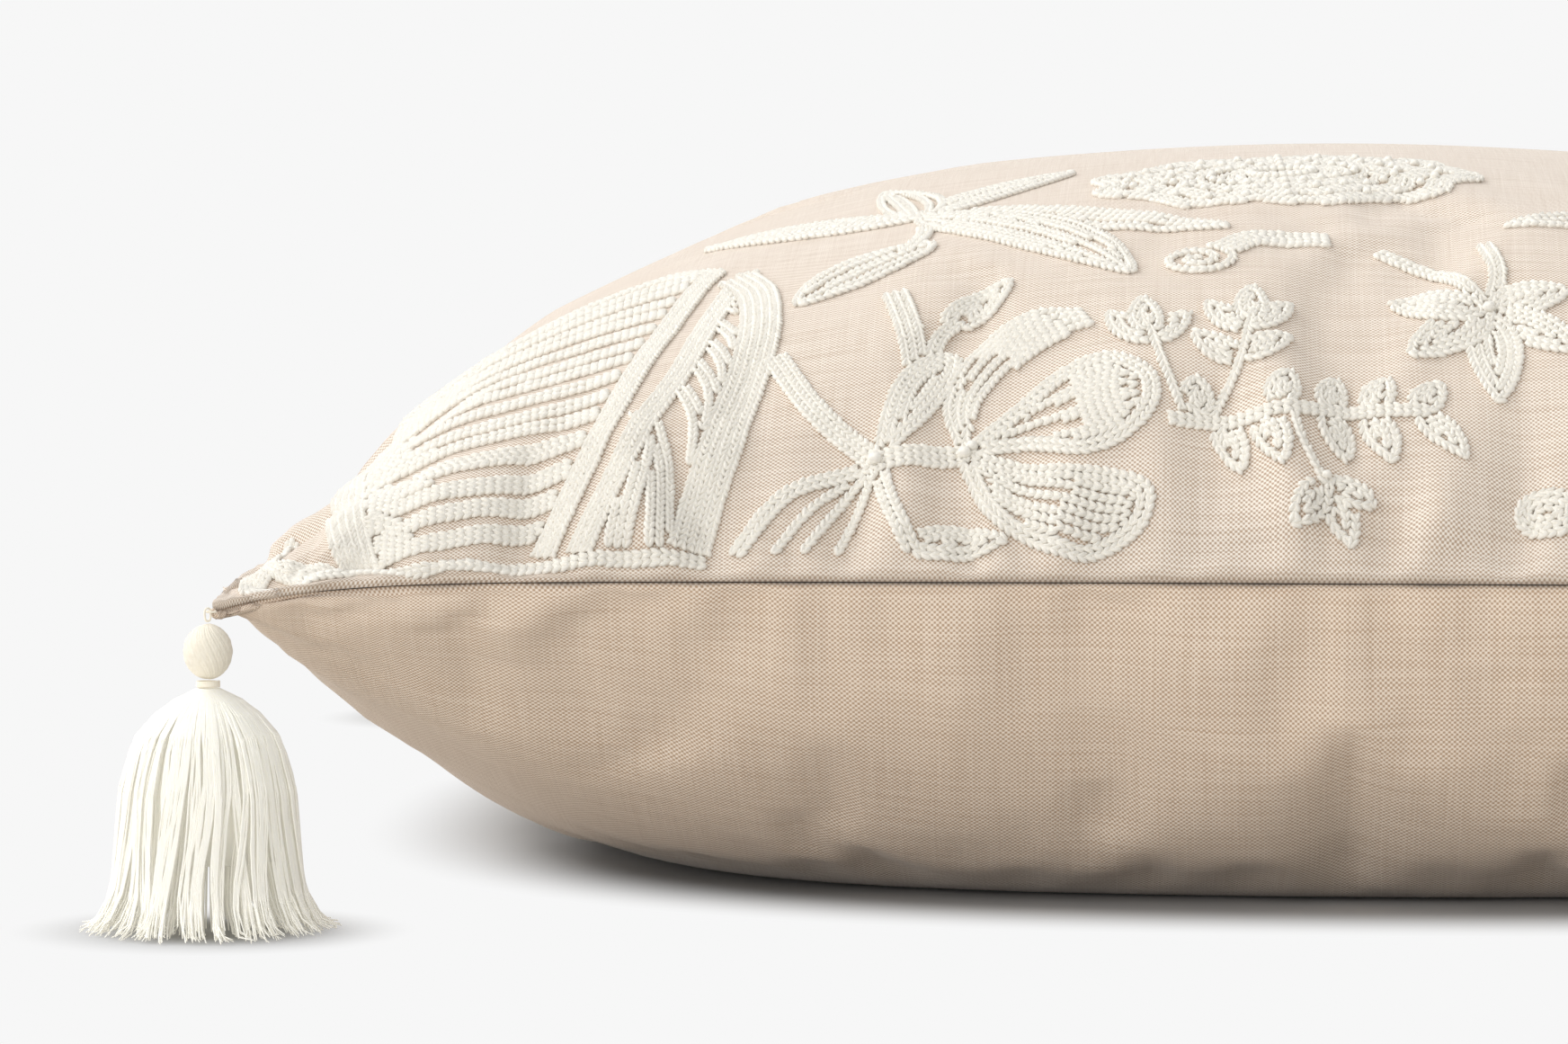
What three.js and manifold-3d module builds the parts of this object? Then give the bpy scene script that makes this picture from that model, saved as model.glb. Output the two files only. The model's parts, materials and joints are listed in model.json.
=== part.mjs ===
// A square throw pillow: an embroidered front panel and a plain back panel sewn round a stuffed
// insert, closed by a concealed zip in the rear seam, with a hanging tassel at each corner.
// Millimetres, +Z up. The pillow lies flat. The origin is on the floor under its centre, the zip
// is at +Y and the front panel faces up.
import * as THREE from "three";
import { mergeVertices } from "three/addons/utils/BufferGeometryUtils.js";
import Module from "manifold-3d";

const wasm = await Module();
wasm.setup();

// ---- Driving dimensions ------------------------------------------------------------------

// Cover
const COVER_SIDE = 560; // from corner tip to corner tip
const SIDE_PULL = 16; // how far the fill draws the middle of each side in
const SOFT_SIDE_BOW = 2.45; // power of a free side's curve
const ZIP_SIDE_BOW = 9; // the zip tape keeps the rear side straight nearly to its corners
const SEAM_HEIGHT = 86; // the seam above the floor
const CORNER_DROOP = 7; // how far the empty corner tips hang below the seam
const CORNER_REACH = 12; // power that keeps the droop close to the tip
const TOP_RISE = 106; // crown of the front panel above the seam
const TOP_ROUND = { across: 2.08, edge: 0.572 }; // powers of the front panel's profile
const BELLY_DEPTH = 123.4; // how deep the back panel would hang with no floor under it
const BELLY_ROUND = { across: 2.185, edge: 0.475 }; // powers of the back panel's profile
const FLOOR_BLEND = 6; // height over which the back panel rolls off the floor
const CLOTH = 0.8; // cover cloth with its backing
const SEAM_ALLOWANCE = 2.4; // width of the sewn edge, turned inwards
const GRID = 14; // panel facets across one side, an even number

// Insert
const INSERT_EASE = 10; // room between the cover's seam allowance and the insert's edge
const TICKING = 0.6; // casing cloth
const CASING_SEAM = 2; // width of the casing's sewn edge
const FIT = 0.4; // clearance between layers that touch

// Clearance between neighbouring pieces
const GAP = 0.3;

// Embroidery
const STITCH_HEIGHT = 1.5; // how far the stitched rows stand up
const STITCH_FIT = 0.5; // under them, so that it holds on the steep cloth near the seam
const DESIGN_HALF = 296; // half the square that the design below is drawn on
const DESIGN_LEAN = 0.05; // how far across its left half drifts outwards for each step rearwards
const DESIGN_SHIFT = 11; // the front's left and middle motifs are worked this far to the right
const DRAW_LINE = -240; // motifs that reach rearward of this line are shortened beyond it
const DESIGN_FOOT = -280; // where along the design that drift starts
const STEM = 5; // width of a stem, two rows side by side
const FINE_STEM = 3; // width of a stem of one row

// Zip
const ZIP_OPENING = 380; // length of the slot
const SLIDER_START = 14; // slider's middle from the closed end of the slot
const COIL_RADIUS = 0.9;
const TAPE_THICKNESS = 0.5;
const TAPE_TAIL = 12; // tape beyond each end of the slot
const TAPE_SPREAD = 8.5; // how far it runs inwards, and as far away from the seam
const STOP_LENGTH = 3;
const SLIDER_LENGTH = 9;
const SLIDER_PLATE = 0.8;
const POST = { length: 3, thickness: 0.7 }; // passes through the slot between the panels
const ZIP_SLOT = POST.thickness + 2 * FIT; // height of the slot
const LUG = { width: 5.2, height: 3.2, ear: 0.8, reach: 2.8 }; // outside plate and its two ears
const PULL_PIN_RADIUS = 0.4;
const PULL_EYE_WALL = 0.6;
const PULL_TAB = { length: 20, width: 5, thickness: 1 };

// Tassels
const THREAD_RADIUS = 0.35;
const STITCH_SPREAD = 2 * THREAD_RADIUS + GAP; // corner stitch's legs from the diagonal
const LOOP_RADIUS = 2 * THREAD_RADIUS + GAP; // middle of the loop's thread from the stitch's
const STITCH_REACH = LOOP_RADIUS + THREAD_RADIUS + GAP; // stitch's bar from the corner tip
const LOOP_LENGTH = 1.3; // straight part of the thread loop
const HANG = STITCH_REACH; // the tassel's axis from the corner tip
const HEAD = { radius: 5.9, height: 13.6 }; // yarn-wrapped ball
const TIE = { radius: 3.3, height: 1.8 }; // binding at the neck
const SKIRT_CLEARANCE = 0.6; // skirt above the floor
const SKIRT_SHAPE = [
  // share of the skirt's height from its foot, radius
  [0.05, 26],
  [0.3, 24],
  [0.6, 22],
  [0.8, 18.5],
  [0.93, 11.5],
];
const TASSEL_SIDES = 12;

// ---- Materials ----------------------------------------------------------------------------

function finish(color, roughness, metalness = 0) {
  return () => new THREE.MeshStandardMaterial({ color, roughness, metalness });
}
const linen = finish(0xd9c6b0, 0.95);
const ivoryYarn = finish(0xf3efe4, 0.9);
const ticking = finish(0xf4f2ee, 0.9);
const fibre = finish(0xfafafa, 1);
const zipTape = finish(0xcdb79e, 0.9);
const nylon = finish(0xd8c8b2, 0.5);
const zinc = finish(0xb9b2a6, 0.35, 0.9);

const pillow = new THREE.Group();

function addPiece(name, geometry, material, parent = pillow) {
  const mesh = new THREE.Mesh(geometry, material());
  mesh.name = name;
  parent.add(mesh);
  return mesh;
}

// ---- Solids -------------------------------------------------------------------------------

function solidFrom(geometry) {
  const bare = geometry.clone();
  bare.deleteAttribute("normal");
  bare.deleteAttribute("uv");
  const merged = mergeVertices(bare, 1e-4);
  return new wasm.Manifold(
    new wasm.Mesh({
      numProp: 3,
      vertProperties: new Float32Array(merged.attributes.position.array),
      triVerts: new Uint32Array(merged.index.array),
    }),
  );
}

function geometryFrom(solid) {
  const mesh = solid.getMesh();
  const geometry = new THREE.BufferGeometry();
  geometry.setAttribute("position", new THREE.BufferAttribute(mesh.vertProperties, 3));
  geometry.setIndex(new THREE.BufferAttribute(mesh.triVerts, 1));
  return geometry;
}

function joined(geometries) {
  return geometries.map(solidFrom).reduce((all, next) => all.add(next));
}

// A box between two opposite corners.
function boxBetween(low, high) {
  const size = high.map((value, axis) => value - low[axis]);
  const middle = high.map((value, axis) => (value + low[axis]) / 2);
  return new THREE.BoxGeometry(...size).translate(...middle);
}

// A round thread, wire or rod along a path.
function strand(path, radius, steps, sides = 6) {
  const section = new THREE.Shape();
  for (let side = 0; side < sides; side += 1) {
    const angle = (side * 2 * Math.PI) / sides;
    const point = [radius * Math.cos(angle), radius * Math.sin(angle)];
    if (side === 0) section.moveTo(...point);
    else section.lineTo(...point);
  }
  section.closePath();
  return new THREE.ExtrudeGeometry(section, { steps, extrudePath: path, bevelEnabled: false });
}

// ---- Pillow forms -------------------------------------------------------------------------

// Every layer of the pillow is the same form, each one a little smaller than the last. half is
// half its side, rise its crown above the seam, depth its reach below the seam and parting half
// of the gap where its two faces meet.
const TOP = 1;
const BOTTOM = -1;
const OUTER_HALF = COVER_SIDE / 2;
const coverOuter = {
  half: OUTER_HALF,
  rise: TOP_RISE - GAP / 2,
  depth: SEAM_HEIGHT - GAP / 2,
  parting: GAP / 2,
};

function within(form, edge, thickness, parting = form.parting) {
  return {
    half: form.half - edge,
    rise: form.rise - thickness,
    depth: form.depth - thickness,
    parting,
  };
}

const coverInner = within(coverOuter, SEAM_ALLOWANCE, CLOTH);
const casingOuter = within(coverInner, INSERT_EASE, FIT);
const casingInner = within(casingOuter, CASING_SEAM, TICKING);
const fillForm = within(casingInner, FIT, FIT, 0);
const stitchInner = within(coverOuter, -STITCH_FIT, -STITCH_FIT);
const stitchOuter = within(stitchInner, -STITCH_HEIGHT, -STITCH_HEIGHT);

function swell(s, t, round) {
  const across = (share) => Math.max(1 - Math.abs(share) ** round.across, 0);
  return (across(s) * across(t)) ** round.edge;
}

function seamAt(s, t) {
  return SEAM_HEIGHT - CORNER_DROOP * Math.abs(s * t) ** CORNER_REACH;
}

// The floor stops the back panel, which rolls off it over a short height.
function aboveFloor(height) {
  if (height > FLOOR_BLEND) return height;
  if (height < -FLOOR_BLEND) return 0;
  return (height + FLOOR_BLEND) ** 2 / (4 * FLOOR_BLEND);
}

// Where the share s across and t along a layer lies in plan.
function planPoint(half, s, t) {
  const pull = SIDE_PULL / OUTER_HALF;
  const bow = t > 0 ? ZIP_SIDE_BOW : SOFT_SIDE_BOW;
  const x = half * s * (1 - pull * (1 - Math.abs(t) ** SOFT_SIDE_BOW) * s * s);
  const y = half * t * (1 - pull * (1 - Math.abs(s) ** bow) * t * t);
  return [x, y];
}

function formPoint(form, s, t, face) {
  const [x, y] = planPoint(form.half, s, t);
  const seam = seamAt(s, t);
  if (face === TOP) {
    return [x, y, seam + form.parting + form.rise * swell(s, t, TOP_ROUND)];
  }
  const drop = seam - aboveFloor(seam - BELLY_DEPTH * swell(s, t, BELLY_ROUND));
  return [x, y, seam - form.parting - (form.depth / SEAM_HEIGHT) * drop];
}

// Grid lines crowd towards the seam, where the cloth turns fastest.
function shareAt(index) {
  return Math.sin(((2 * index) / GRID - 1) * (Math.PI / 2));
}

function gridPoint(form, i, j, face) {
  return formPoint(form, shareAt(i), shareAt(j), face);
}

// One face of a form as triangles, split the same way in every quadrant. facing is 1 for
// outwards and -1 for inwards.
function faceTriangles(form, face, facing) {
  const triangles = [];
  const upwards = face * facing > 0;
  for (let i = 0; i < GRID; i += 1) {
    for (let j = 0; j < GRID; j += 1) {
      const corner = [
        gridPoint(form, i, j, face),
        gridPoint(form, i + 1, j, face),
        gridPoint(form, i + 1, j + 1, face),
        gridPoint(form, i, j + 1, face),
      ];
      const first = (i < GRID / 2) === (j < GRID / 2) ? 0 : 1;
      const [a, b, c, d] = [0, 1, 2, 3].map((step) => corner[(first + step) % 4]);
      if (upwards) triangles.push(a, b, c, a, c, d);
      else triangles.push(a, c, b, a, d, c);
    }
  }
  return triangles;
}

// Grid places round the seam, anticlockwise from above.
function seamPlaces() {
  const places = [];
  for (let i = 0; i < GRID; i += 1) places.push([i, 0]);
  for (let j = 0; j < GRID; j += 1) places.push([GRID, j]);
  for (let i = GRID; i > 0; i -= 1) places.push([i, GRID]);
  for (let j = GRID; j > 0; j -= 1) places.push([0, j]);
  return places;
}

function geometryOfTriangles(points) {
  const geometry = new THREE.BufferGeometry();
  geometry.setAttribute("position", new THREE.Float32BufferAttribute(points.flat(), 3));
  return geometry;
}

// The cloth between two nested forms on one side of the seam.
function panelGeometry(outer, inner, face) {
  const triangles = [...faceTriangles(outer, face, 1), ...faceTriangles(inner, face, -1)];
  const places = seamPlaces();
  places.forEach(([i, j], index) => {
    const [nextI, nextJ] = places[(index + 1) % places.length];
    const a = gridPoint(outer, i, j, face);
    const b = gridPoint(inner, i, j, face);
    const c = gridPoint(inner, nextI, nextJ, face);
    const d = gridPoint(outer, nextI, nextJ, face);
    if (face === TOP) triangles.push(a, b, c, a, c, d);
    else triangles.push(a, c, b, a, d, c);
  });
  return geometryOfTriangles(triangles);
}

function stuffingGeometry(form) {
  return geometryOfTriangles([
    ...faceTriangles(form, TOP, 1),
    ...faceTriangles(form, BOTTOM, 1),
  ]);
}

// ---- Cover, insert and zip slot -----------------------------------------------------------

// Middle of the rear side, where the zip runs.
const REAR_Y = planPoint(OUTER_HALF, 0, 1)[1];
const RIM_Y = planPoint(coverInner.half, 0, 1)[1];

const zipSlot = solidFrom(
  boxBetween(
    [-ZIP_OPENING / 2, RIM_Y - SEAM_ALLOWANCE, SEAM_HEIGHT - ZIP_SLOT / 2],
    [ZIP_OPENING / 2, OUTER_HALF, SEAM_HEIGHT + ZIP_SLOT / 2],
  ),
);

function coverPanel(face) {
  const whole = solidFrom(panelGeometry(coverOuter, coverInner, face));
  return geometryFrom(whole.subtract(zipSlot));
}

addPiece("front_panel", coverPanel(TOP), linen);
addPiece("back_panel", coverPanel(BOTTOM), linen);
addPiece("insert_casing_top", panelGeometry(casingOuter, casingInner, TOP), ticking);
addPiece("insert_casing_bottom", panelGeometry(casingOuter, casingInner, BOTTOM), ticking);
addPiece("insert_fill", stuffingGeometry(fillForm), fibre);

// ---- Zip ----------------------------------------------------------------------------------

// The tape leans inwards at 45 degrees, and what it must clear is stepped back along that slope.
const TAPE_Y = RIM_Y - 2 * GAP - TAPE_THICKNESS; // inner side of the tape at the slot
const COIL_Z = POST.thickness / 2 + GAP + COIL_RADIUS; // from the middle of the seam
const COIL_Y = TAPE_Y - (COIL_Z - ZIP_SLOT / 2) - Math.SQRT2 * (COIL_RADIUS + GAP);
const SLIDER_X = ZIP_OPENING / 2 - SLIDER_START;

// Each half is drawn above the seam and mirrored for below it.
function tapeGeometry(side) {
  const length = ZIP_OPENING + 2 * TAPE_TAIL;
  const outline = [
    [TAPE_Y, ZIP_SLOT / 2],
    [TAPE_Y + TAPE_THICKNESS, ZIP_SLOT / 2],
    [TAPE_Y + TAPE_THICKNESS - TAPE_SPREAD, ZIP_SLOT / 2 + TAPE_SPREAD],
    [TAPE_Y - TAPE_SPREAD, ZIP_SLOT / 2 + TAPE_SPREAD],
  ].map(([y, z]) => new THREE.Vector2(y, side * z));
  if (side < 0) outline.reverse();
  // The outline's first axis becomes Y, its second Z and the extrusion X.
  const turn = new THREE.Matrix4().makeBasis(
    new THREE.Vector3(0, 1, 0),
    new THREE.Vector3(0, 0, 1),
    new THREE.Vector3(1, 0, 0),
  );
  return new THREE.ExtrudeGeometry(new THREE.Shape(outline), {
    depth: length,
    bevelEnabled: false,
  })
    .applyMatrix4(turn)
    .translate(-length / 2, 0, SEAM_HEIGHT);
}

function coilGeometry(side) {
  const z = SEAM_HEIGHT + side * COIL_Z;
  const path = new THREE.LineCurve3(
    new THREE.Vector3(-ZIP_OPENING / 2, COIL_Y, z),
    new THREE.Vector3(ZIP_OPENING / 2, COIL_Y, z),
  );
  return strand(path, COIL_RADIUS, 1, 8);
}

// How far towards the slot a piece of the zip can reach at a height from the seam's middle.
function reachUnderTape(height) {
  return TAPE_Y - (height - ZIP_SLOT / 2) - Math.SQRT2 * GAP;
}

// A crimped stop beyond one end of the coils.
function stopGeometry(end) {
  const height = COIL_Z + COIL_RADIUS;
  const near = ZIP_OPENING / 2 + GAP;
  const low = [near, COIL_Y - COIL_RADIUS, SEAM_HEIGHT - height];
  const high = [near + STOP_LENGTH, reachUnderTape(height), SEAM_HEIGHT + height];
  return boxBetween(low, high).translate(end > 0 ? 0 : -2 * near - STOP_LENGTH, 0, 0);
}

addPiece("zip_tape_upper", tapeGeometry(1), zipTape);
addPiece("zip_tape_lower", tapeGeometry(-1), zipTape);
addPiece("zip_coil_upper", coilGeometry(1), nylon);
addPiece("zip_coil_lower", coilGeometry(-1), nylon);
addPiece("zip_stop_closed_end", stopGeometry(1), zinc);
addPiece("zip_stop_open_end", stopGeometry(-1), zinc);

// The slider wraps the coils from inside. Its post passes out through the slot to a lug, and the
// pull hangs on the lug's pin.
const FLANGE_Z = COIL_Z + COIL_RADIUS + GAP;
const PLATE_Y = COIL_Y - COIL_RADIUS - GAP;
const LUG_Y = REAR_Y + 3 * GAP;
const EYE_INNER = PULL_PIN_RADIUS + FIT;
const EYE_OUTER = EYE_INNER + PULL_EYE_WALL;
const PIN_Y = LUG_Y + SLIDER_PLATE + EYE_OUTER + GAP;

// A box of the slider, given about its own middle on the seam line.
function sliderBox(halfLength, yLow, yHigh, zLow, zHigh) {
  return boxBetween(
    [SLIDER_X - halfLength, yLow, SEAM_HEIGHT + zLow],
    [SLIDER_X + halfLength, yHigh, SEAM_HEIGHT + zHigh],
  );
}

function sliderGeometry() {
  const half = SLIDER_LENGTH / 2;
  const outside = FLANGE_Z + TAPE_THICKNESS;
  const flangeReach = reachUnderTape(outside);
  const plate = sliderBox(half, PLATE_Y - SLIDER_PLATE, PLATE_Y, -outside, outside);
  const upper = sliderBox(half, PLATE_Y - SLIDER_PLATE, flangeReach, FLANGE_Z, outside);
  const lower = sliderBox(half, PLATE_Y - SLIDER_PLATE, flangeReach, -outside, -FLANGE_Z);
  const postHalf = POST.thickness / 2;
  const postStart = PLATE_Y - SLIDER_PLATE / 2;
  const post = sliderBox(POST.length / 2, postStart, LUG_Y + SLIDER_PLATE / 2, -postHalf, postHalf);
  const lugHalf = LUG.height / 2;
  const lug = sliderBox(LUG.width / 2, LUG_Y, LUG_Y + SLIDER_PLATE, -lugHalf, lugHalf);
  const ears = [-1, 1].map((side) => {
    const middle = side * (LUG.width / 2 - LUG.ear / 2);
    const ear = sliderBox(LUG.ear / 2, LUG_Y, PIN_Y + LUG.reach / 2, -lugHalf / 2, lugHalf / 2);
    return ear.translate(middle, 0, 0);
  });
  const pinHalf = LUG.width / 2 - LUG.ear / 2;
  const pin = new THREE.CylinderGeometry(PULL_PIN_RADIUS, PULL_PIN_RADIUS, 2 * pinHalf, 8)
    .rotateZ(Math.PI / 2)
    .translate(SLIDER_X, PIN_Y, SEAM_HEIGHT);
  return geometryFrom(joined([plate, upper, lower, post, lug, ...ears, pin]));
}

function pullGeometry() {
  const eyeWidth = LUG.width - 2 * LUG.ear - 2 * GAP;
  const eye = new THREE.LatheGeometry(
    [
      new THREE.Vector2(EYE_INNER, -eyeWidth / 2),
      new THREE.Vector2(EYE_OUTER, -eyeWidth / 2),
      new THREE.Vector2(EYE_OUTER, eyeWidth / 2),
      new THREE.Vector2(EYE_INNER, eyeWidth / 2),
      new THREE.Vector2(EYE_INNER, -eyeWidth / 2),
    ],
    12,
  ).rotateZ(Math.PI / 2);
  const neckTop = -(EYE_INNER + EYE_OUTER) / 2;
  const tabTop = -LUG.height;
  const halfThick = PULL_TAB.thickness / 2;
  const neck = boxBetween(
    [-eyeWidth / 2, -halfThick, tabTop - PULL_TAB.thickness],
    [eyeWidth / 2, halfThick, neckTop],
  );
  const outline = new THREE.Shape();
  const halfWide = PULL_TAB.width / 2;
  outline.moveTo(-eyeWidth / 2, 0);
  outline.lineTo(-halfWide, -PULL_TAB.length + halfWide);
  outline.absarc(0, -PULL_TAB.length + halfWide, halfWide, Math.PI, 2 * Math.PI, false);
  outline.lineTo(eyeWidth / 2, 0);
  outline.closePath();
  const tab = new THREE.ExtrudeGeometry(outline, {
    depth: PULL_TAB.thickness,
    bevelEnabled: false,
    curveSegments: 8,
  })
    .rotateX(Math.PI / 2)
    .translate(0, halfThick, tabTop);
  return geometryFrom(joined([eye, neck, tab])).translate(SLIDER_X, PIN_Y, SEAM_HEIGHT);
}

addPiece("zip_slider", sliderGeometry(), zinc);
addPiece("zip_pull", pullGeometry(), zinc);

// ---- Tassels ------------------------------------------------------------------------------

// A tassel is made with the corner tip at its origin and the pillow's diagonal, outwards, as +X.
const TIP_Z = seamAt(1, 1);
const HEAD_TOP = -LOOP_RADIUS - LOOP_LENGTH - THREAD_RADIUS - GAP;
const TIE_TOP = HEAD_TOP - HEAD.height - GAP;
const SKIRT_TOP = TIE_TOP - TIE.height - GAP;

// The stitch is a staple of thread lying level, its legs sewn either side of the tip.
function cornerStitch() {
  const bend = STITCH_REACH / 2;
  const bar = STITCH_REACH - THREAD_RADIUS / 2;
  const path = new THREE.CatmullRomCurve3([
    new THREE.Vector3(-GAP, -STITCH_SPREAD, 0),
    new THREE.Vector3(bend, -STITCH_SPREAD, 0),
    new THREE.Vector3(bar, -0.7 * STITCH_SPREAD, 0),
    new THREE.Vector3(STITCH_REACH, 0, 0),
    new THREE.Vector3(bar, 0.7 * STITCH_SPREAD, 0),
    new THREE.Vector3(bend, STITCH_SPREAD, 0),
    new THREE.Vector3(-GAP, STITCH_SPREAD, 0),
  ]);
  return strand(path, THREAD_RADIUS, 8, 5);
}

// A link of thread, upright in the plane of the diagonal: a ring with its lower half let down.
function threadLoop() {
  const ring = new THREE.TorusGeometry(LOOP_RADIUS, THREAD_RADIUS, 5, 10).rotateX(Math.PI / 2);
  const position = ring.attributes.position;
  for (let index = 0; index < position.count; index += 1) {
    const z = position.getZ(index);
    if (z < -THREAD_RADIUS / 10) position.setZ(index, z - LOOP_LENGTH);
  }
  return ring.translate(HANG, 0, 0);
}

function wrappedHead() {
  return new THREE.SphereGeometry(1, TASSEL_SIDES, 8)
    .rotateX(Math.PI / 2)
    .scale(HEAD.radius, HEAD.radius, HEAD.height / 2)
    .translate(HANG, 0, HEAD_TOP - HEAD.height / 2);
}

// A solid of revolution about the tassel's axis, from radius and height pairs, lowest first.
function turned(profile) {
  const points = profile.map(([radius, z]) => new THREE.Vector2(radius, z));
  return new THREE.LatheGeometry(points, TASSEL_SIDES).rotateX(Math.PI / 2).translate(HANG, 0, 0);
}

function neckTie() {
  const low = TIE_TOP - TIE.height;
  return turned([
    [0, low],
    [0.85 * TIE.radius, low],
    [TIE.radius, low + TIE.height / 2],
    [0.85 * TIE.radius, TIE_TOP],
    [0, TIE_TOP],
  ]);
}

function yarnSkirt() {
  const foot = SKIRT_CLEARANCE - TIP_Z;
  const height = SKIRT_TOP - foot;
  const sides = SKIRT_SHAPE.map(([share, radius]) => [radius, foot + share * height]);
  const [widest] = sides[0];
  return turned([[0, foot], [widest, foot], ...sides, [TIE.radius, SKIRT_TOP], [0, SKIRT_TOP]]);
}

const CORNERS = [
  { place: "front_left", side: -1, end: -1 },
  { place: "front_right", side: 1, end: -1 },
  { place: "rear_right", side: 1, end: 1 },
  { place: "rear_left", side: -1, end: 1 },
];

CORNERS.forEach(({ place, side, end }) => {
  const tassel = new THREE.Group();
  const [x, y] = planPoint(OUTER_HALF, side, end);
  tassel.position.set(x, y, TIP_Z);
  tassel.rotation.z = Math.atan2(end, side);
  pillow.add(tassel);
  addPiece(`corner_stitch_${place}`, cornerStitch(), ivoryYarn, tassel);
  addPiece(`tassel_loop_${place}`, threadLoop(), ivoryYarn, tassel);
  addPiece(`tassel_head_${place}`, wrappedHead(), ivoryYarn, tassel);
  addPiece(`tassel_tie_${place}`, neckTie(), ivoryYarn, tassel);
  addPiece(`tassel_skirt_${place}`, yarnSkirt(), ivoryYarn, tassel);
});

// ---- Embroidery ---------------------------------------------------------------------------

// The design is drawn flat, [across, rearwards] in millimetres from the panel's middle, and laid
// over the crowned panel by distance along the cloth.
const CLOTH_STEPS = 400;
const reachTable = [0];
for (let step = 1; step <= CLOTH_STEPS; step += 1) {
  const [from, to] = [step - 1, step].map((index) => {
    const share = Math.sin((index / CLOTH_STEPS) * (Math.PI / 2));
    return formPoint(coverOuter, share, 0, TOP);
  });
  reachTable.push(reachTable[step - 1] + Math.hypot(to[0] - from[0], to[2] - from[2]));
}

// The share across the panel at a distance on the design.
function shareAlong(distance) {
  const target = (Math.abs(distance) / DESIGN_HALF) * reachTable[CLOTH_STEPS];
  const above = reachTable.findIndex((reach) => reach >= target);
  const span = reachTable[above] - reachTable[above - 1] || 1;
  const step = above > 0 ? above - 1 + (target - reachTable[above - 1]) / span : 0;
  return Math.sign(distance) * Math.sin((step / CLOTH_STEPS) * (Math.PI / 2));
}

function onPlan([across, rearwards]) {
  const plan = planPoint(OUTER_HALF, shareAlong(across), shareAlong(rearwards));
  return new THREE.Vector2(...plan);
}

// Shapes of the design, each a closed outline.
function leaf(base, tip, width, stations = [0, 0.15, 0.4, 0.7, 0.9, 1]) {
  const from = new THREE.Vector2(...base);
  const along = new THREE.Vector2(...tip).sub(from);
  const across = new THREE.Vector2(-along.y, along.x).setLength(width / 2);
  const outline = [];
  const place = (share, hand) => {
    const swellShare = Math.sin(Math.PI * share ** 0.85) ** 0.8 * hand;
    return from.clone().addScaledVector(along, share).addScaledVector(across, swellShare);
  };
  stations.forEach((share) => outline.push(place(share, 1)));
  stations
    .slice(1, -1)
    .reverse()
    .forEach((share) => outline.push(place(share, -1)));
  return outline.map((point) => [point.x, point.y]);
}

function stem(points, width = STEM) {
  const course = points.map((point) => new THREE.Vector2(...point));
  const sides = [1, -1].map((hand) =>
    course.map((point, index) => {
      const before = course[Math.max(index - 1, 0)];
      const after = course[Math.min(index + 1, course.length - 1)];
      const along = after.clone().sub(before);
      const across = new THREE.Vector2(-along.y, along.x).setLength((hand * width) / 2);
      return point.clone().add(across);
    }),
  );
  return [...sides[0], ...sides[1].reverse()].map((point) => [point.x, point.y]);
}

function round([x, y], radiusAcross, radiusRearwards, sides = 14) {
  return Array.from({ length: sides }, (_, index) => {
    const angle = (index * 2 * Math.PI) / sides;
    return [x + radiusAcross * Math.cos(angle), y + radiusRearwards * Math.sin(angle)];
  });
}

// Small leaves, [base, tip] each, of one width.
function leaves(pairs, width) {
  return pairs.map(([base, tip]) => leaf(base, tip, width, [0, 0.35, 0.8, 1]));
}

const FERN = [
  // a broad ribbed leaf and its half partner on one base line, with a small leaf at the corner
  [
    [-258, -287],
    [-269, -226],
    [-272, -166],
    [-262, -124],
    [-215, -86],
    [-185, -84],
    [-163, -100],
    [-150, -132],
    [-148, -190],
    [-156, -238],
    [-167, -287],
  ],
  leaf([-255, -284], [-284, -262], 9),
  leaf([-287, -280], [-280, -240], 9),
];

const BLOOM_HUB = [-125, -260];
const PETAL_HUB = [-103, -258];
const BLOOM = [
  round(BLOOM_HUB, 5, 5, 9),
  round(PETAL_HUB, 4, 4, 9),
  stem([[-144, -214], [-139, -242], BLOOM_HUB], 6),
  stem([BLOOM_HUB, PETAL_HUB], 6),
  stem([BLOOM_HUB, [-146, -270], [-158, -288]]),
  stem([BLOOM_HUB, [-137, -272], [-147, -288]], 4),
  stem([BLOOM_HUB, [-129, -274], [-136, -288]], 4),
  stem([BLOOM_HUB, [-121, -275], [-116, -288]]),
  leaf([-117, -287], [-93, -284], 9),
  [
    [-127, -258],
    [-123, -236],
    [-113, -220],
    [-103, -224],
    [-108, -238],
    [-121, -258],
  ],
  stem([[-113, -226], [-115, -208], [-119, -187]]),
  stem([[-113, -222], [-108, -204], [-97, -192]]),
  [
    [-104, -258],
    [-106, -238],
    [-97, -215],
    [-86, -207],
    [-74, -208],
    [-70, -217],
    [-82, -233],
    [-98, -255],
  ],
  [
    [-104, -258],
    [-93, -246],
    [-76, -231],
    [-63, -230],
    [-56, -240],
    [-57, -254],
    [-72, -261],
  ],
  [
    [-104, -258],
    [-82, -263],
    [-61, -266],
    [-59, -279],
    [-70, -289],
    [-86, -288],
    [-98, -278],
  ],
];

const SPRAY_HUB = [-113, -92];
const SPRAY = [
  round(SPRAY_HUB, 6, 6, 8),
  leaf(SPRAY_HUB, [-62, -174], 24),
  leaf(SPRAY_HUB, [-42, -140], 18),
  leaf(SPRAY_HUB, [-172, -58], 18),
  leaf(SPRAY_HUB, [-122, -30], 16),
  leaf(SPRAY_HUB, [-74, -44], 16),
  stem([SPRAY_HUB, [-112, -118], [-118, -140]]),
  leaf([-110, -130], [-145, -171], 20),
];

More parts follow.
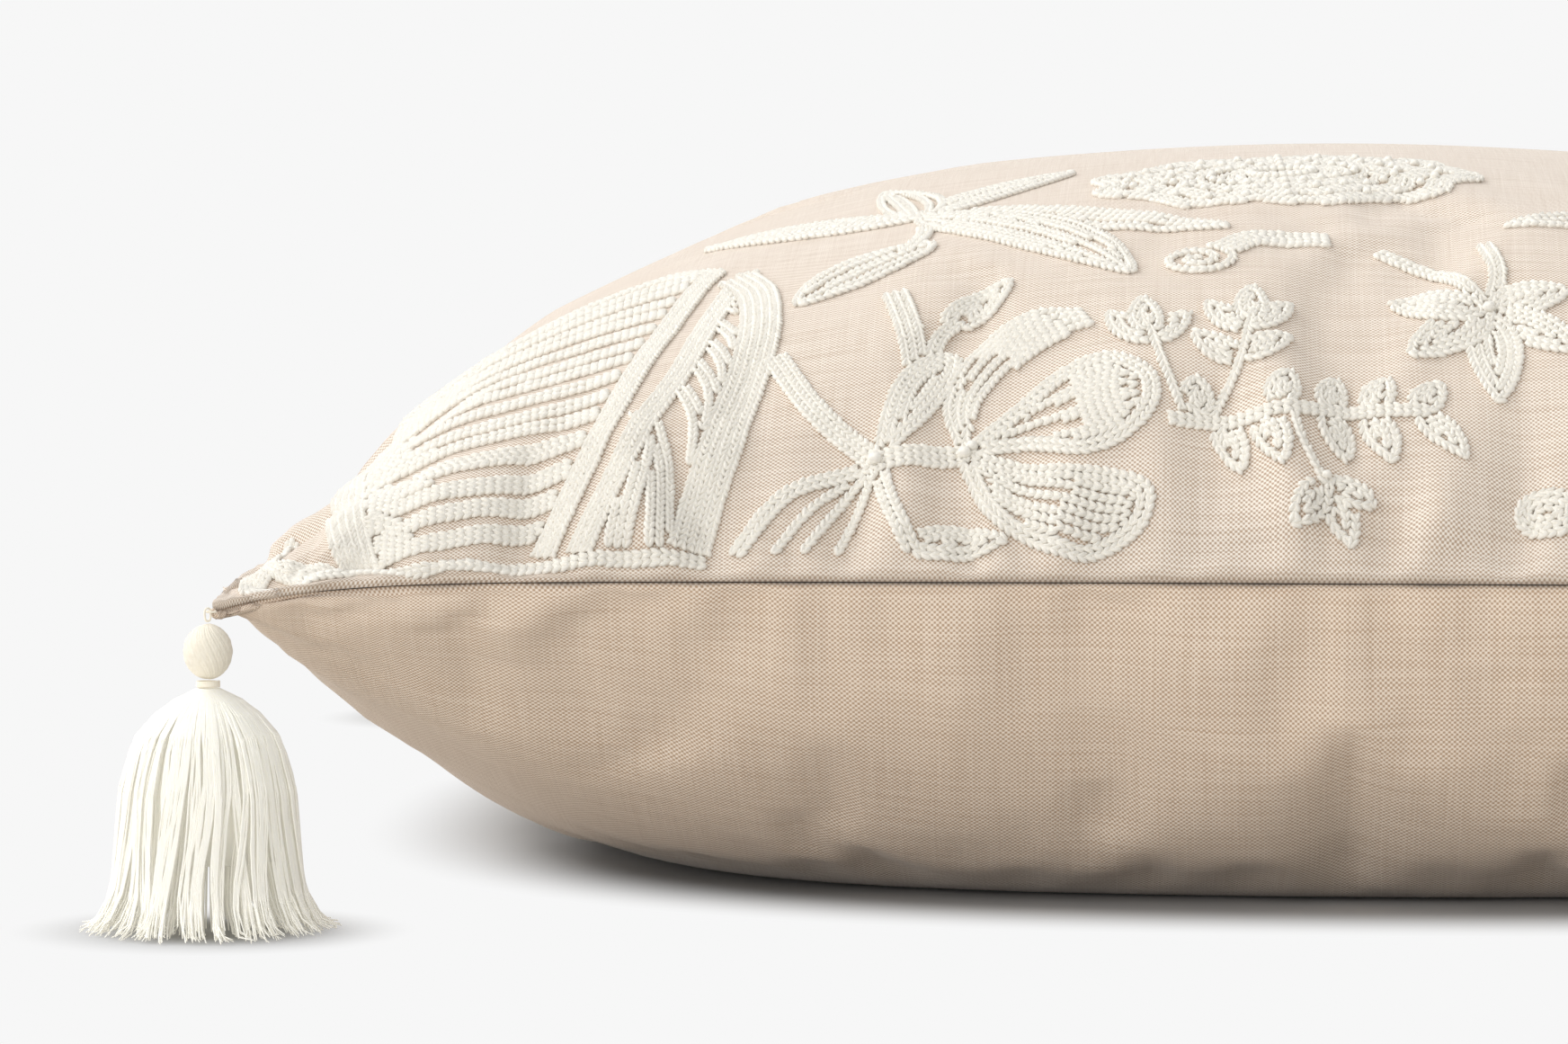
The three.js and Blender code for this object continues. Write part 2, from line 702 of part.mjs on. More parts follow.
const TWIG_LEAF = 6.5;
const TWIG = [
  stem([[-51, -251], [-28, -250], [-12, -247], [10, -247]], FINE_STEM),
  stem([[-43, -250], [-36, -232], [-32, -212]], FINE_STEM),
  stem([[-48, -251], [-52, -234], [-57, -217]], FINE_STEM),
  stem([[-24, -250], [-22, -260], [-17, -272]], FINE_STEM),
  ...leaves(
    [
      [[-46, -250], [-47, -237]],
      [[-27, -250], [-24, -237]],
      [[-15, -248], [-12, -235]],
      [[-4, -247], [0, -235]],
      [[7, -248], [13, -237]],
      [[-40, -250], [-39, -266]],
      [[-30, -250], [-30, -266]],
      [[-15, -248], [-15, -263]],
      [[-5, -247], [-4, -262]],
      [[7, -247], [16, -262]],
      [[-32, -214], [-31, -198]],
      [[-33, -218], [-43, -209]],
      [[-33, -217], [-22, -210]],
      [[-36, -230], [-45, -222]],
      [[-36, -230], [-25, -224]],
      [[-57, -219], [-57, -203]],
      [[-57, -221], [-66, -212]],
      [[-57, -221], [-48, -212]],
      [[-17, -271], [-23, -284]],
      [[-17, -271], [-7, -276]],
      [[-17, -271], [-12, -286]],
    ],
    TWIG_LEAF,
  ),
];

const STAR_HUB = [28, -205];
const STAR = [
  round(STAR_HUB, 4, 4, 8),
  ...leaves(
    [
      [STAR_HUB, [8, -196]],
      [STAR_HUB, [13, -222]],
      [STAR_HUB, [31, -239]],
      [STAR_HUB, [47, -220]],
      [STAR_HUB, [46, -195]],
    ],
    12,
  ),
  stem([STAR_HUB, [20, -188], [2, -172]], 4),
  stem([STAR_HUB, [32, -188], [30, -170]], 4),
];

const SCROLL = [
  round([-44, -174], 10, 10),
  stem([[-44, -174], [-36, -164], [-24, -158], [-10, -160]], 8),
];

const ROSETTE = [round([-18, -98], 48, 30, 20)];
const OVAL = [round([37, -277], 8.5, 7)];

function leaning(shapes) {
  return shapes.map((outline) =>
    outline.map(([across, rearwards]) => [
      across - DESIGN_LEAN * (rearwards - DESIGN_FOOT),
      rearwards,
    ]),
  );
}

// Beyond the draw line a motif is shortened by a share of its length there.
function drawn(shapes, share) {
  return shapes.map((outline) =>
    outline.map(([across, rearwards]) => [
      across,
      rearwards - share * Math.max(rearwards - DRAW_LINE, 0),
    ]),
  );
}

function shifted(shapes) {
  return shapes.map((outline) =>
    outline.map(([across, rearwards]) => [across + DESIGN_SHIFT, rearwards]),
  );
}

function mirrored(shapes) {
  return shapes.map((outline) => outline.map(([across, rearwards]) => [-across, rearwards]));
}

function turnedHalfway(shapes) {
  return shapes.map((outline) => outline.map(([across, rearwards]) => [-across, -rearwards]));
}

const stitchLayer = solidFrom(panelGeometry(stitchOuter, stitchInner, TOP));

// The part of the stitch layer that lies over the shapes.
function embroidery(shapes) {
  const prisms = shapes.map((outline) => {
    const shape = new THREE.Shape(outline.map(onPlan));
    const depth = TOP_RISE + 2 * STITCH_HEIGHT + CORNER_DROOP;
    return new THREE.ExtrudeGeometry(shape, { depth, bevelEnabled: false }).translate(0, 0, TIP_Z);
  });
  return geometryFrom(joined(prisms).intersect(stitchLayer));
}

const FERN_LEFT = leaning(drawn(FERN, 0.28));
const BLOOM_LEFT = leaning(BLOOM);
const SPRAY_LEFT = leaning(drawn(SPRAY, 0.2));
const FRONT_HALF = {
  fern_left: FERN_LEFT,
  fern_right: mirrored(FERN_LEFT),
  bloom_left: BLOOM_LEFT,
  bloom_right: mirrored(BLOOM_LEFT),
  spray_left: SPRAY_LEFT,
  spray_right: mirrored(SPRAY_LEFT),
  twig: leaning(TWIG),
  star: leaning(STAR),
  scroll: leaning(drawn(SCROLL, 0.09)),
  rosette: leaning(drawn(ROSETTE, 0.09)),
  oval: leaning(OVAL),
};

// The rear half of the design is the front half turned about the panel's middle.
Object.entries(FRONT_HALF).forEach(([name, shapes]) => {
  const worked = name.endsWith("_right") ? shapes : shifted(shapes);
  addPiece(`stitched_front_${name}`, embroidery(worked), ivoryYarn);
  addPiece(`stitched_rear_${name}`, embroidery(turnedHalfway(shapes)), ivoryYarn);
});

export default pillow;
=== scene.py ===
# %% [markdown]
# # An embroidered throw pillow
# A square cushion lies flat on its back panel. Its cover is woven cotton-linen, stitched on the
# front with thick ivory yarn, and a yarn tassel hangs from each corner. The CAD frame says where
# every piece goes, and this lesson gives each one its real surface.

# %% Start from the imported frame
import json
import math

import bmesh
import bpy
import numpy as np
from mathutils import Matrix, Vector

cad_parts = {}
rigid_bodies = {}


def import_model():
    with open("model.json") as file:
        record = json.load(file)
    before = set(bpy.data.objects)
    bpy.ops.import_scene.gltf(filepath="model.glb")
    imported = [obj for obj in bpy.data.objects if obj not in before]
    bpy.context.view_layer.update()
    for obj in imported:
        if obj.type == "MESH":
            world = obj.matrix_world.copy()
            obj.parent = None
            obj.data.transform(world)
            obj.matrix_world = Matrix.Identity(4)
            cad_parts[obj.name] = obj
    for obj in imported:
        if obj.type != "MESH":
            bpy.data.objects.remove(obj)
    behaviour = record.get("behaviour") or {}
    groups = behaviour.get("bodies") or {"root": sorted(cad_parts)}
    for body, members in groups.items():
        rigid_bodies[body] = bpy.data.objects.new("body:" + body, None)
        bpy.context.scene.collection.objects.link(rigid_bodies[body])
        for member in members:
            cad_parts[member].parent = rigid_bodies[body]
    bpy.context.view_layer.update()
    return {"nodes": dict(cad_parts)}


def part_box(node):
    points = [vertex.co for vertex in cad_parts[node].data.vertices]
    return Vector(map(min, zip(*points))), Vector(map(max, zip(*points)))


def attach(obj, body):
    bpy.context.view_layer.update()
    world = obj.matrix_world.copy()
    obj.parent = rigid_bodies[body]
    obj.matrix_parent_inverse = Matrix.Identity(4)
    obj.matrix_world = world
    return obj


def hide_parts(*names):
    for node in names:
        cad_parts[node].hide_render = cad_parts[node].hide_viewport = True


for leftover in list(bpy.data.objects):
    bpy.data.objects.remove(leftover)
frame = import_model()

# %% [markdown]
# The camera comes first, because everything is judged through it. It looks at the front left
# corner from almost floor height with a long lens, so that the seam runs nearly level.

# %% Camera
CAMERA_PLACE = (-0.0308, -1.9058, 0.2075)
CAMERA_TURN = math.radians(3.8)  # towards the left
CAMERA_TILT = math.radians(3.712)  # looking down
camera = bpy.data.objects.new("camera", bpy.data.cameras.new("camera"))
camera.data.lens = 152.9
camera.data.sensor_width = 36
camera.data.clip_end = 200
camera.location = CAMERA_PLACE
camera.rotation_euler = (math.pi / 2 - CAMERA_TILT, 0, CAMERA_TURN)
bpy.context.scene.collection.objects.link(camera)
bpy.context.scene.camera = camera
print("camera", CAMERA_PLACE)

# %% [markdown]
# ## The form of the pillow
# A stuffed square is not a ball: its sides pull in between the corners, its crown is broad and
# its edges turn quickly. Two powers describe each face, one across the panel and one for how
# sharply it meets the seam. The same few numbers shaped the CAD solids, so the cloth made here
# lies exactly on them. All of this is in millimetres.

# %% Sizes of the form
MM = 0.001
OUTER_HALF = 280.0
SIDE_PULL = 16.0
SOFT_SIDE_BOW = 2.45
ZIP_SIDE_BOW = 9.0
SEAM_HEIGHT = 86.0
CORNER_DROOP = 7.0
CORNER_REACH = 12
TOP_RISE = 106.0
TOP_ROUND = (2.08, 0.572)
BELLY_DEPTH = 123.4
BELLY_ROUND = (2.185, 0.475)
FLOOR_BLEND = 6.0
GAP = 0.3
CLOTH = 0.8
TICKING = 0.6
CUT_HALF = 296.0  # half the side of the flat square that each panel is cut to
TOP, BOTTOM = 1, -1


def form(half, rise, depth, parting=GAP / 2):
    return {"half": half, "rise": rise, "depth": depth, "parting": parting}


COVER = form(OUTER_HALF, TOP_RISE - GAP / 2, SEAM_HEIGHT - GAP / 2)
CASING = form(OUTER_HALF - 12.4, COVER["rise"] - 1.2, COVER["depth"] - 1.2)
FILL = form(CASING["half"] - 2.4, CASING["rise"] - 1.0, CASING["depth"] - 1.0, 0)

# %% Points on the form
def swell(s, t, rounding):
    across, edge = rounding
    one = np.clip(1 - np.abs(s) ** across, 0, 1)
    other = np.clip(1 - np.abs(t) ** across, 0, 1)
    return (one * other) ** edge


def above_floor(height):
    blend = (np.clip(height, -FLOOR_BLEND, FLOOR_BLEND) + FLOOR_BLEND) ** 2 / (4 * FLOOR_BLEND)
    return np.where(height > FLOOR_BLEND, height, blend)


def form_points(shape, s, t, face):
    pull = SIDE_PULL / OUTER_HALF
    bow = np.where(t > 0, ZIP_SIDE_BOW, SOFT_SIDE_BOW)
    x = shape["half"] * s * (1 - pull * (1 - np.abs(t) ** SOFT_SIDE_BOW) * s * s)
    y = shape["half"] * t * (1 - pull * (1 - np.abs(s) ** bow) * t * t)
    seam = SEAM_HEIGHT - CORNER_DROOP * np.abs(s * t) ** CORNER_REACH
    if face == TOP:
        z = seam + shape["parting"] + shape["rise"] * swell(s, t, TOP_ROUND)
    else:
        drop = seam - above_floor(seam - BELLY_DEPTH * swell(s, t, BELLY_ROUND))
        z = seam - shape["parting"] - shape["depth"] / SEAM_HEIGHT * drop
    return np.stack([x, y, z], axis=-1)


# %% [markdown]
# Cloth is cut flat, so places on a panel are counted along the cloth, and not along the floor.
# A table made once for each face turns a distance on the cut square into a share of the form.

# %% Distance along the cloth
TABLE_SHARES = np.sin(np.linspace(0, math.pi / 2, 800))


def reach_table(face):
    line = form_points(COVER, TABLE_SHARES, np.zeros_like(TABLE_SHARES), face)
    steps = np.linalg.norm(np.diff(line, axis=0), axis=1)
    reach = np.concatenate([[0], np.cumsum(steps)])
    print("cloth from the middle to the seam", round(float(reach[-1]), 1), "mm")
    return reach / reach[-1]


REACH = {TOP: reach_table(TOP), BOTTOM: reach_table(BOTTOM)}


def share_at(distance, face):
    share = np.interp(np.abs(distance) / CUT_HALF, REACH[face], TABLE_SHARES)
    return np.sign(distance) * share


def laid_on(shape, cut, face):
    """Places on the flat cut, lifted onto a form."""
    return form_points(shape, share_at(cut[..., 0], face), share_at(cut[..., 1], face), face)


# %% [markdown]
# ## A panel of cloth
# A panel starts as a plain grid. Its lines crowd towards the seam, where the cloth turns
# fastest, and every point is then lifted onto the form. The grid's own places on the flat cut
# are kept as a UV map in metres, so that the weave can follow the threads.

# %% Grid of cloth
EDGE_CROWDING = 0.55


def crowded(u):
    return (1 - EDGE_CROWDING) * u + EDGE_CROWDING * np.sin(math.pi / 2 * u)


def points_of(mesh):
    flat = np.empty(len(mesh.vertices) * 3)
    mesh.vertices.foreach_get("co", flat)
    return flat.reshape(-1, 3)


def set_points(mesh, points):
    mesh.vertices.foreach_set("co", np.ascontiguousarray(points, dtype=float).ravel())
    mesh.update()


def add_object(name, mesh):
    piece = bpy.data.objects.new(name, mesh)
    bpy.context.scene.collection.objects.link(piece)
    return piece


def mesh_from(name, bm, smooth=True):
    mesh = bpy.data.meshes.new(name)
    bm.to_mesh(mesh)
    bm.free()
    mesh.polygons.foreach_set("use_smooth", [smooth] * len(mesh.polygons))
    return mesh


def cloth_grid(name, cells, face):
    """A flat grid with each point's places on the cut square, in rows from front to rear."""
    bm = bmesh.new()
    bmesh.ops.create_grid(bm, x_segments=cells, y_segments=cells, size=1)
    if face == BOTTOM:
        bmesh.ops.reverse_faces(bm, faces=bm.faces[:])
    mesh = mesh_from(name, bm)
    flat = points_of(mesh)[:, :2]
    order = np.lexsort((np.round(flat[:, 0], 5), np.round(flat[:, 1], 5)))
    cut = crowded(flat) * CUT_HALF
    uv = mesh.uv_layers.new(name="cloth")
    corners = np.empty(len(mesh.loops), dtype=int)
    mesh.loops.foreach_get("vertex_index", corners)
    uv.data.foreach_set("uv", ((cut[corners] + CUT_HALF) * MM).ravel())
    return mesh, order, cut[order].reshape(cells + 1, cells + 1, 2)


def lift(mesh, order, rows):
    points = np.empty((len(order), 3))
    points[order] = rows.reshape(-1, 3) * MM
    set_points(mesh, points)


def outward(rows, face):
    """Directions square to the cloth at each grid point."""
    normal = np.cross(np.gradient(rows, axis=1), np.gradient(rows, axis=0)) * face
    return normal / np.maximum(np.linalg.norm(normal, axis=-1, keepdims=True), 1e-9)


# %% [markdown]
# ## How the cloth puckers
# Filling pushes a cover out while its seams hold it in, and the slack cloth beside the seam
# gathers into small folds. Blender's Cloth does that: each panel is pinned at its seam, a little
# longer than its outline allows, and pressed from inside. Only the folds are kept. The broad
# bulge is taken off again with a wide average, because the form above is already right.

# %% Simulated folds
SIM_CELLS = 100
SIM_FRAMES = 20
STUFFING_PRESSURE = 4
CLOTH_GROWTH = 0.035
STIFFNESS = 0.3
BULGE_AVERAGING = 60  # rounds of averaging that leave only the broad bulge
FOLD_LIMIT = 4.0


def averaged(field, times):
    """The field with each point averaged with its neighbours, many times over."""
    for _ in range(times):
        wide = np.pad(field, ((1, 1), (1, 1), (0, 0)), mode="edge")
        rows = (wide[:-2, 1:-1] + 2 * wide[1:-1, 1:-1] + wide[2:, 1:-1]) / 4
        wide = np.pad(rows, ((0, 0), (1, 1), (0, 0)), mode="edge")
        field = (wide[:, :-2] + 2 * wide[:, 1:-1] + wide[:, 2:]) / 4
    return field


def simulated_folds(face):
    mesh, order, cut = cloth_grid("folding cloth", SIM_CELLS, face)
    rows = laid_on(COVER, cut, face)
    lift(mesh, order, rows)
    piece = add_object("folding_cloth", mesh)
    held = piece.vertex_groups.new(name="held")
    rim = np.max(np.abs(cut), axis=-1) > CUT_HALF - 0.1
    resting = rows[..., 2] < 0.5
    held.add([int(i) for i in order[(rim | resting).ravel()]], 1.0, "REPLACE")
    cloth = piece.modifiers.new("cloth", "CLOTH")
    cloth.settings.quality = 5
    cloth.settings.vertex_group_mass = "held"
    cloth.settings.effector_weights.gravity = 0
    cloth.settings.use_pressure = True
    cloth.settings.uniform_pressure_force = STUFFING_PRESSURE
    cloth.settings.shrink_min = -CLOTH_GROWTH
    cloth.settings.bending_stiffness = STIFFNESS
    cloth.collision_settings.use_collision = False
    cloth.point_cache.frame_start = 1
    cloth.point_cache.frame_end = SIM_FRAMES
    for number in range(1, SIM_FRAMES + 1):
        bpy.context.scene.frame_set(number)
    settled = piece.evaluated_get(bpy.context.evaluated_depsgraph_get()).to_mesh()
    moved = points_of(settled)[order].reshape(rows.shape) / MM - rows
    bpy.context.scene.frame_set(1)
    bpy.data.objects.remove(piece)
    folds = moved - averaged(moved, BULGE_AVERAGING)
    size = np.linalg.norm(folds, axis=-1, keepdims=True)
    folds *= np.tanh(size / FOLD_LIMIT) * FOLD_LIMIT / np.maximum(size, 1e-6)
    print("folds up to", round(float(size.max()), 2), "mm")
    return folds


FOLDS = {face: simulated_folds(face) for face in (TOP, BOTTOM)}

# %% [markdown]
# Beside the sewn line real cloth also has a few sharper tucks, where the needle gathered it.
# Each one is a narrow ridge that starts at the seam, leans a little and fades out on the panel.

# %% Tucks at the seam
TUCK_SPREAD = 270  # to both sides of a seam's middle


def tucks(cut, face, seed, count, height):
    draw = np.random.default_rng(seed)
    lifted = np.zeros(cut.shape[:2])
    for axis, end in ((0, -1), (0, 1), (1, -1), (1, 1)):
        along = cut[..., axis]
        inwards = CUT_HALF - end * cut[..., 1 - axis]
        for _ in range(count):
            place = draw.uniform(-TUCK_SPREAD, TUCK_SPREAD)
            width = draw.uniform(3, 7.5)
            length = draw.uniform(22, 85)
            lean = draw.uniform(-0.22, 0.22)
            tall = draw.uniform(0.35, 1) * height * draw.choice([1, 1, -1])
            beside = (along - place - lean * inwards) / (width * (1 + inwards / 60))
            fade = np.clip(inwards / 14, 0, 1) * np.exp(-((inwards / length) ** 2))
            lifted += tall * fade * np.exp(-(beside**2))
    return lifted


def seam_roll(cut, face):
    """The cloth tucks in at the sewn line, and the front panel rolls a little over it."""
    inwards = CUT_HALF - np.max(np.abs(cut), axis=-1)
    if face == TOP:
        return 0.7 * np.exp(-(((inwards - 3.5) / 3) ** 2)) - 0.5 * np.exp(-((inwards / 1.2) ** 2))
    return -1.1 * np.exp(-((inwards / 5) ** 2))


# %% [markdown]
# The outer face of each cover panel is the form, plus its folds, plus its tucks. Where it rests
# on the floor it stays flat. The Solidify modifier then gives it the thickness of the cloth.

# %% Cover panels
COVER_CELLS = 210
BACK_CELLS = 180


def enlarged(field, cut_from, cut_to):
    """A grid of vectors read off at the places of another grid."""
    out = np.empty(cut_to.shape[:2] + (3,))
    spots = cut_from[0, :, 0]
    fresh = cut_to[0, :, 0]
    for part in range(3):
        across = np.array([np.interp(fresh, spots, row) for row in field[..., part]])
        out[..., part] = np.array([np.interp(fresh, spots, column) for column in across.T]).T
    return out


def sim_cut():
    line = crowded(np.linspace(-1, 1, SIM_CELLS + 1)) * CUT_HALF
    return np.stack(np.meshgrid(line, line), axis=-1)


def cover_rows(cut, face, seed, count, height):
    rows = laid_on(COVER, cut, face)
    normal = outward(rows, face)
    bump = tucks(cut, face, seed, count, height) + seam_roll(cut, face)
    shaped = rows + enlarged(FOLDS[face], sim_cut(), cut) + normal * bump[..., None]
    if face == BOTTOM:
        free = np.clip(rows[..., 2:] / 12, 0, 1)
        shaped = rows + (shaped - rows) * free
        shaped[..., 2] = np.maximum(shaped[..., 2], 0)
    rim = (np.max(np.abs(cut), axis=-1) > CUT_HALF - 0.1)[..., None]
    return np.where(rim, rows + normal * seam_roll(cut, face)[..., None], shaped)


def sheet_piece(name, mesh, thickness):
    piece = add_object(name, mesh)
    wall = piece.modifiers.new("thickness", "SOLIDIFY")
    wall.thickness = thickness * MM
    wall.offset = -1
    return piece


def cover_panel(name, cells, face, **tucking):
    mesh, order, cut = cloth_grid(name, cells, face)
    rows = cover_rows(cut, face, **tucking)
    lift(mesh, order, rows)
    print(name, len(mesh.vertices), "points")
    return sheet_piece(name, mesh, CLOTH), cut, rows


front_cover, front_cut, front_rows = cover_panel(
    "front_cover", COVER_CELLS, TOP, seed=3, count=40, height=4.0
)
back_cover, _, _ = cover_panel("back_cover", BACK_CELLS, BOTTOM, seed=8, count=18, height=2.0)

# %% [markdown]
# ## Finishes written as sums
# A procedural finish is arithmetic on places. This small class wraps one output of a shader
# node, so that a plus or times sign adds the Math node, and one function adds any other node.

# %% Shader helpers
class Wire:
    def __init__(self, tree, socket):
        self.tree = tree
        self.socket = socket

    def math(self, operation, *others):
        return node(self.tree, "ShaderNodeMath", {"operation": operation}, [self, *others])

    def __add__(self, other):
        return self.math("ADD", other)

    def __sub__(self, other):
        return self.math("SUBTRACT", other)

    def __mul__(self, other):
        return self.math("MULTIPLY", other)

    def __pow__(self, other):
        return self.math("POWER", other)

    __radd__ = __add__
    __rmul__ = __mul__


def plug(tree, socket, value):
    if isinstance(value, Wire):
        tree.links.new(value.socket, socket)
    elif value is not None:
        socket.default_value = value


def node(tree, kind, settings=None, inputs=(), output=0):
    made = tree.nodes.new(kind)
    for name, value in (settings or {}).items():
        setattr(made, name, value)
    named = inputs.items() if isinstance(inputs, dict) else enumerate(inputs)
    for key, value in named:
        plug(tree, made.inputs[key], value)
    return Wire(tree, made.outputs[output])


def colour(red, green, blue):
    """A colour as it looks, in 0 to 255, as the light that a shader wants."""
    shares = [channel / 255 for channel in (red, green, blue)]
    return tuple([c / 12.92 if c < 0.04045 else ((c + 0.055) / 1.055) ** 2.4 for c in shares] + [1])


def blend(tree, factor, first, second, kind="MIX"):
    settings = {"data_type": "RGBA", "blend_type": kind}
    return node(tree, "ShaderNodeMix", settings, {0: factor, 6: first, 7: second}, output=2)


def stretched(tree, places, scale):
    return node(tree, "ShaderNodeVectorMath", {"operation": "MULTIPLY"}, [places, scale])


def noise(tree, places, scale, detail=2.0):
    inputs = {"Vector": places, "Scale": scale, "Detail": detail}
    return node(tree, "ShaderNodeTexNoise", {}, inputs)


def new_finish(name, **constants):
    material = bpy.data.materials.new(name)
    material.use_nodes = True
    tree = material.node_tree
    shader = tree.nodes["Principled BSDF"]
    for socket, value in constants.items():
        shader.inputs[socket.replace("_", " ")].default_value = value
    return material, tree, shader


def raise_bumps(tree, shader, height, distance, strength=1.0):
    inputs = {"Strength": strength, "Distance": distance, "Height": height}
    plug(tree, shader.inputs["Normal"], node(tree, "ShaderNodeBump", {}, inputs))


def object_places(tree):
    return node(tree, "ShaderNodeTexCoord", output="Object")


# %% Every piece is finished the same way
def finish_piece(piece, material, body, replaced):
    piece.data.materials.clear()
    piece.data.materials.append(material)
    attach(piece, body)
    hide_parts(replaced)


# %% [markdown]
# ## Woven linen
# The cover is a plain weave: each thread goes over one and under the next, 16 to a centimetre.
# Cream weft crosses a tan warp, so a checker of sines gives both the colour and the relief.
# Uneven threads, called slubs, run as long faint streaks both ways.

# %% Linen
THREAD = 0.62 * MM


def linen_finish(name, cream, tan, streak_share):
    material, tree, shader = new_finish(name, Roughness=0.92, Sheen_Weight=0.25)
    cloth = node(tree, "ShaderNodeUVMap", {"uv_map": "cloth"})
    wobble = noise(tree, cloth, 260.0, 1.0) * 0.9
    split = node(tree, "ShaderNodeSeparateXYZ", {}, [cloth])
    across, along = split, Wire(tree, split.socket.node.outputs[1])
    turns = math.pi / THREAD
    warp = (across * turns + wobble).math("SINE")
    weft = (along * turns + wobble).math("SINE")
    over = warp * weft * 0.5 + 0.5
    weft_slub = noise(tree, stretched(tree, cloth, (28.0, 1500.0, 1.0)), 1.0, 2.0)
    warp_slub = noise(tree, stretched(tree, cloth, (1500.0, 28.0, 1.0)), 1.0, 2.0)
    dots = (over * 2.1 + weft_slub * 1.3 + warp_slub * 0.7 - 1.5).math("MINIMUM", 1.0)
    base = blend(tree, dots.math("MAXIMUM", 0.0), tan, cream)
    patches = noise(tree, cloth, 9.0, 3.0)
    shade = (weft_slub * streak_share + warp_slub * 0.3 + patches * 0.35).math("MULTIPLY", 0.6)
    tinted = blend(tree, shade, base, colour(224, 214, 203), "MULTIPLY")
    plug(tree, shader.inputs["Base Color"], tinted)
    raise_bumps(tree, shader, over + weft_slub * 0.5 + warp_slub * 0.5, 0.12 * MM, 0.7)
    return material


FRONT_SHADES = colour(250, 243, 234), colour(186, 164, 142)
# The back panel is the same linen as the front, painted a little lighter and warmer to lift the
# shade on the pillow's lower half: painted light.
BACK_SHADES_PAINTED_LIGHTER = colour(255, 244, 231), colour(192, 166, 140)
LINEN_FRONT = linen_finish("linen front", *FRONT_SHADES, 0.5)
LINEN_BACK_PAINTED_LIGHTER = linen_finish("linen back painted lighter", *BACK_SHADES_PAINTED_LIGHTER, 1.0)
finish_piece(front_cover, LINEN_FRONT, "cover", "front_panel")
finish_piece(back_cover, LINEN_BACK_PAINTED_LIGHTER, "cover", "back_panel")
print("linen threads each", THREAD / MM, "mm")

# %% [markdown]
# ## The insert
# Inside is a plain cotton casing full of loose fibre. It is never seen unless the zip is open,
# but it is what the cover rests on, so it is made with the same grid, one layer in.

# %% Insert
CASING_CELLS = 90
FILLING_CELLS = 70


def plain_finish(name, shade, dark, grain, depth, roughness=0.9, sheen=0.2):
    material, tree, shader = new_finish(name, Roughness=roughness, Sheen_Weight=sheen)
    places = object_places(tree)
    fine = noise(tree, places, grain, 3.0)
    broad = noise(tree, places, grain / 25, 2.0)
    plug(tree, shader.inputs["Base Color"], blend(tree, fine * 0.6 + broad * 0.4, dark, shade))
    raise_bumps(tree, shader, fine, depth)
    return material


TICKING_FINISH = plain_finish("ticking", colour(246, 244, 240), colour(226, 222, 215), 1600.0, 1e-4)
FIBRE_FINISH = plain_finish("fibre", colour(252, 252, 250), colour(232, 230, 226), 400.0, 8e-4)
casings = {}
for face, word in ((TOP, "top"), (BOTTOM, "bottom")):
    mesh, order, cut = cloth_grid(f"casing {word}", CASING_CELLS, face)
    rows = laid_on(CASING, cut, face)
    creases = tucks(cut, face, 20 + face, 8, 0.35)[..., None]
    lift(mesh, order, rows - outward(rows, face) * np.abs(creases))
    casings[face] = sheet_piece(f"casing_{word}_cloth", mesh, TICKING)
    finish_piece(casings[face], TICKING_FINISH, "cover", f"insert_casing_{word}")

halves = []
for face in (TOP, BOTTOM):
    mesh, order, cut = cloth_grid("filling", FILLING_CELLS, face)
    lift(mesh, order, laid_on(FILL, cut, face))
    halves.append(mesh)
bm = bmesh.new()
for half in halves:
    bm.from_mesh(half)
bmesh.ops.remove_doubles(bm, verts=bm.verts[:], dist=1e-6)
filling = add_object("filling", mesh_from("filling", bm))
finish_piece(filling, FIBRE_FINISH, "cover", "insert_fill")
print("filling", len(filling.data.vertices), "points")

# %% [markdown]
# ## Chain stitch
# The design is worked in woolly ivory yarn. Each row is a chain: link after link, every link two
# short strands that lean apart like the halves of a heart. A row is drawn as a course on the
# flat cut, and its links are then laid on the crowned cloth.

# %% One strand of a link, copied many times
LINK_STEP = 2.15  # along a row
ROW_PITCH = 2.2  # from row to row
CORD_RADIUS = 0.8  # the yarn under each row of links
bm = bmesh.new()
bmesh.ops.create_uvsphere(bm, u_segments=4, v_segments=3, radius=1)
bmesh.ops.rotate(bm, verts=bm.verts[:], matrix=Matrix.Rotation(math.pi / 2, 3, "Y"))
STRAND = mesh_from("strand", bm)
print("each strand has", len(STRAND.polygons), "faces")


def scattered(name, template, frames, middles):
    """Copies of a small mesh, each turned and sized by its 3 by 3 frame."""
    shape = points_of(template)
    copies = len(middles)
    places = middles[:, None, :] + np.einsum("vi,nij->nvj", shape, frames)
    corner = np.empty(len(template.loops), dtype=int)
    template.loops.foreach_get("vertex_index", corner)
    start = np.empty(len(template.polygons), dtype=int)
    template.polygons.foreach_get("loop_start", start)
    mesh = bpy.data.meshes.new(name)
    mesh.vertices.add(copies * len(shape))
    mesh.vertices.foreach_set("co", (places * MM).ravel())
    mesh.loops.add(copies * len(corner))
    step = np.arange(copies)[:, None]
    mesh.loops.foreach_set("vertex_index", (corner + step * len(shape)).ravel())
    mesh.polygons.add(copies * len(start))
    mesh.polygons.foreach_set("loop_start", (start + step * len(corner)).ravel())
    mesh.polygons.foreach_set("use_smooth", [True] * (copies * len(start)))
    mesh.update(calc_edges=True)
    mesh.validate()
    return mesh


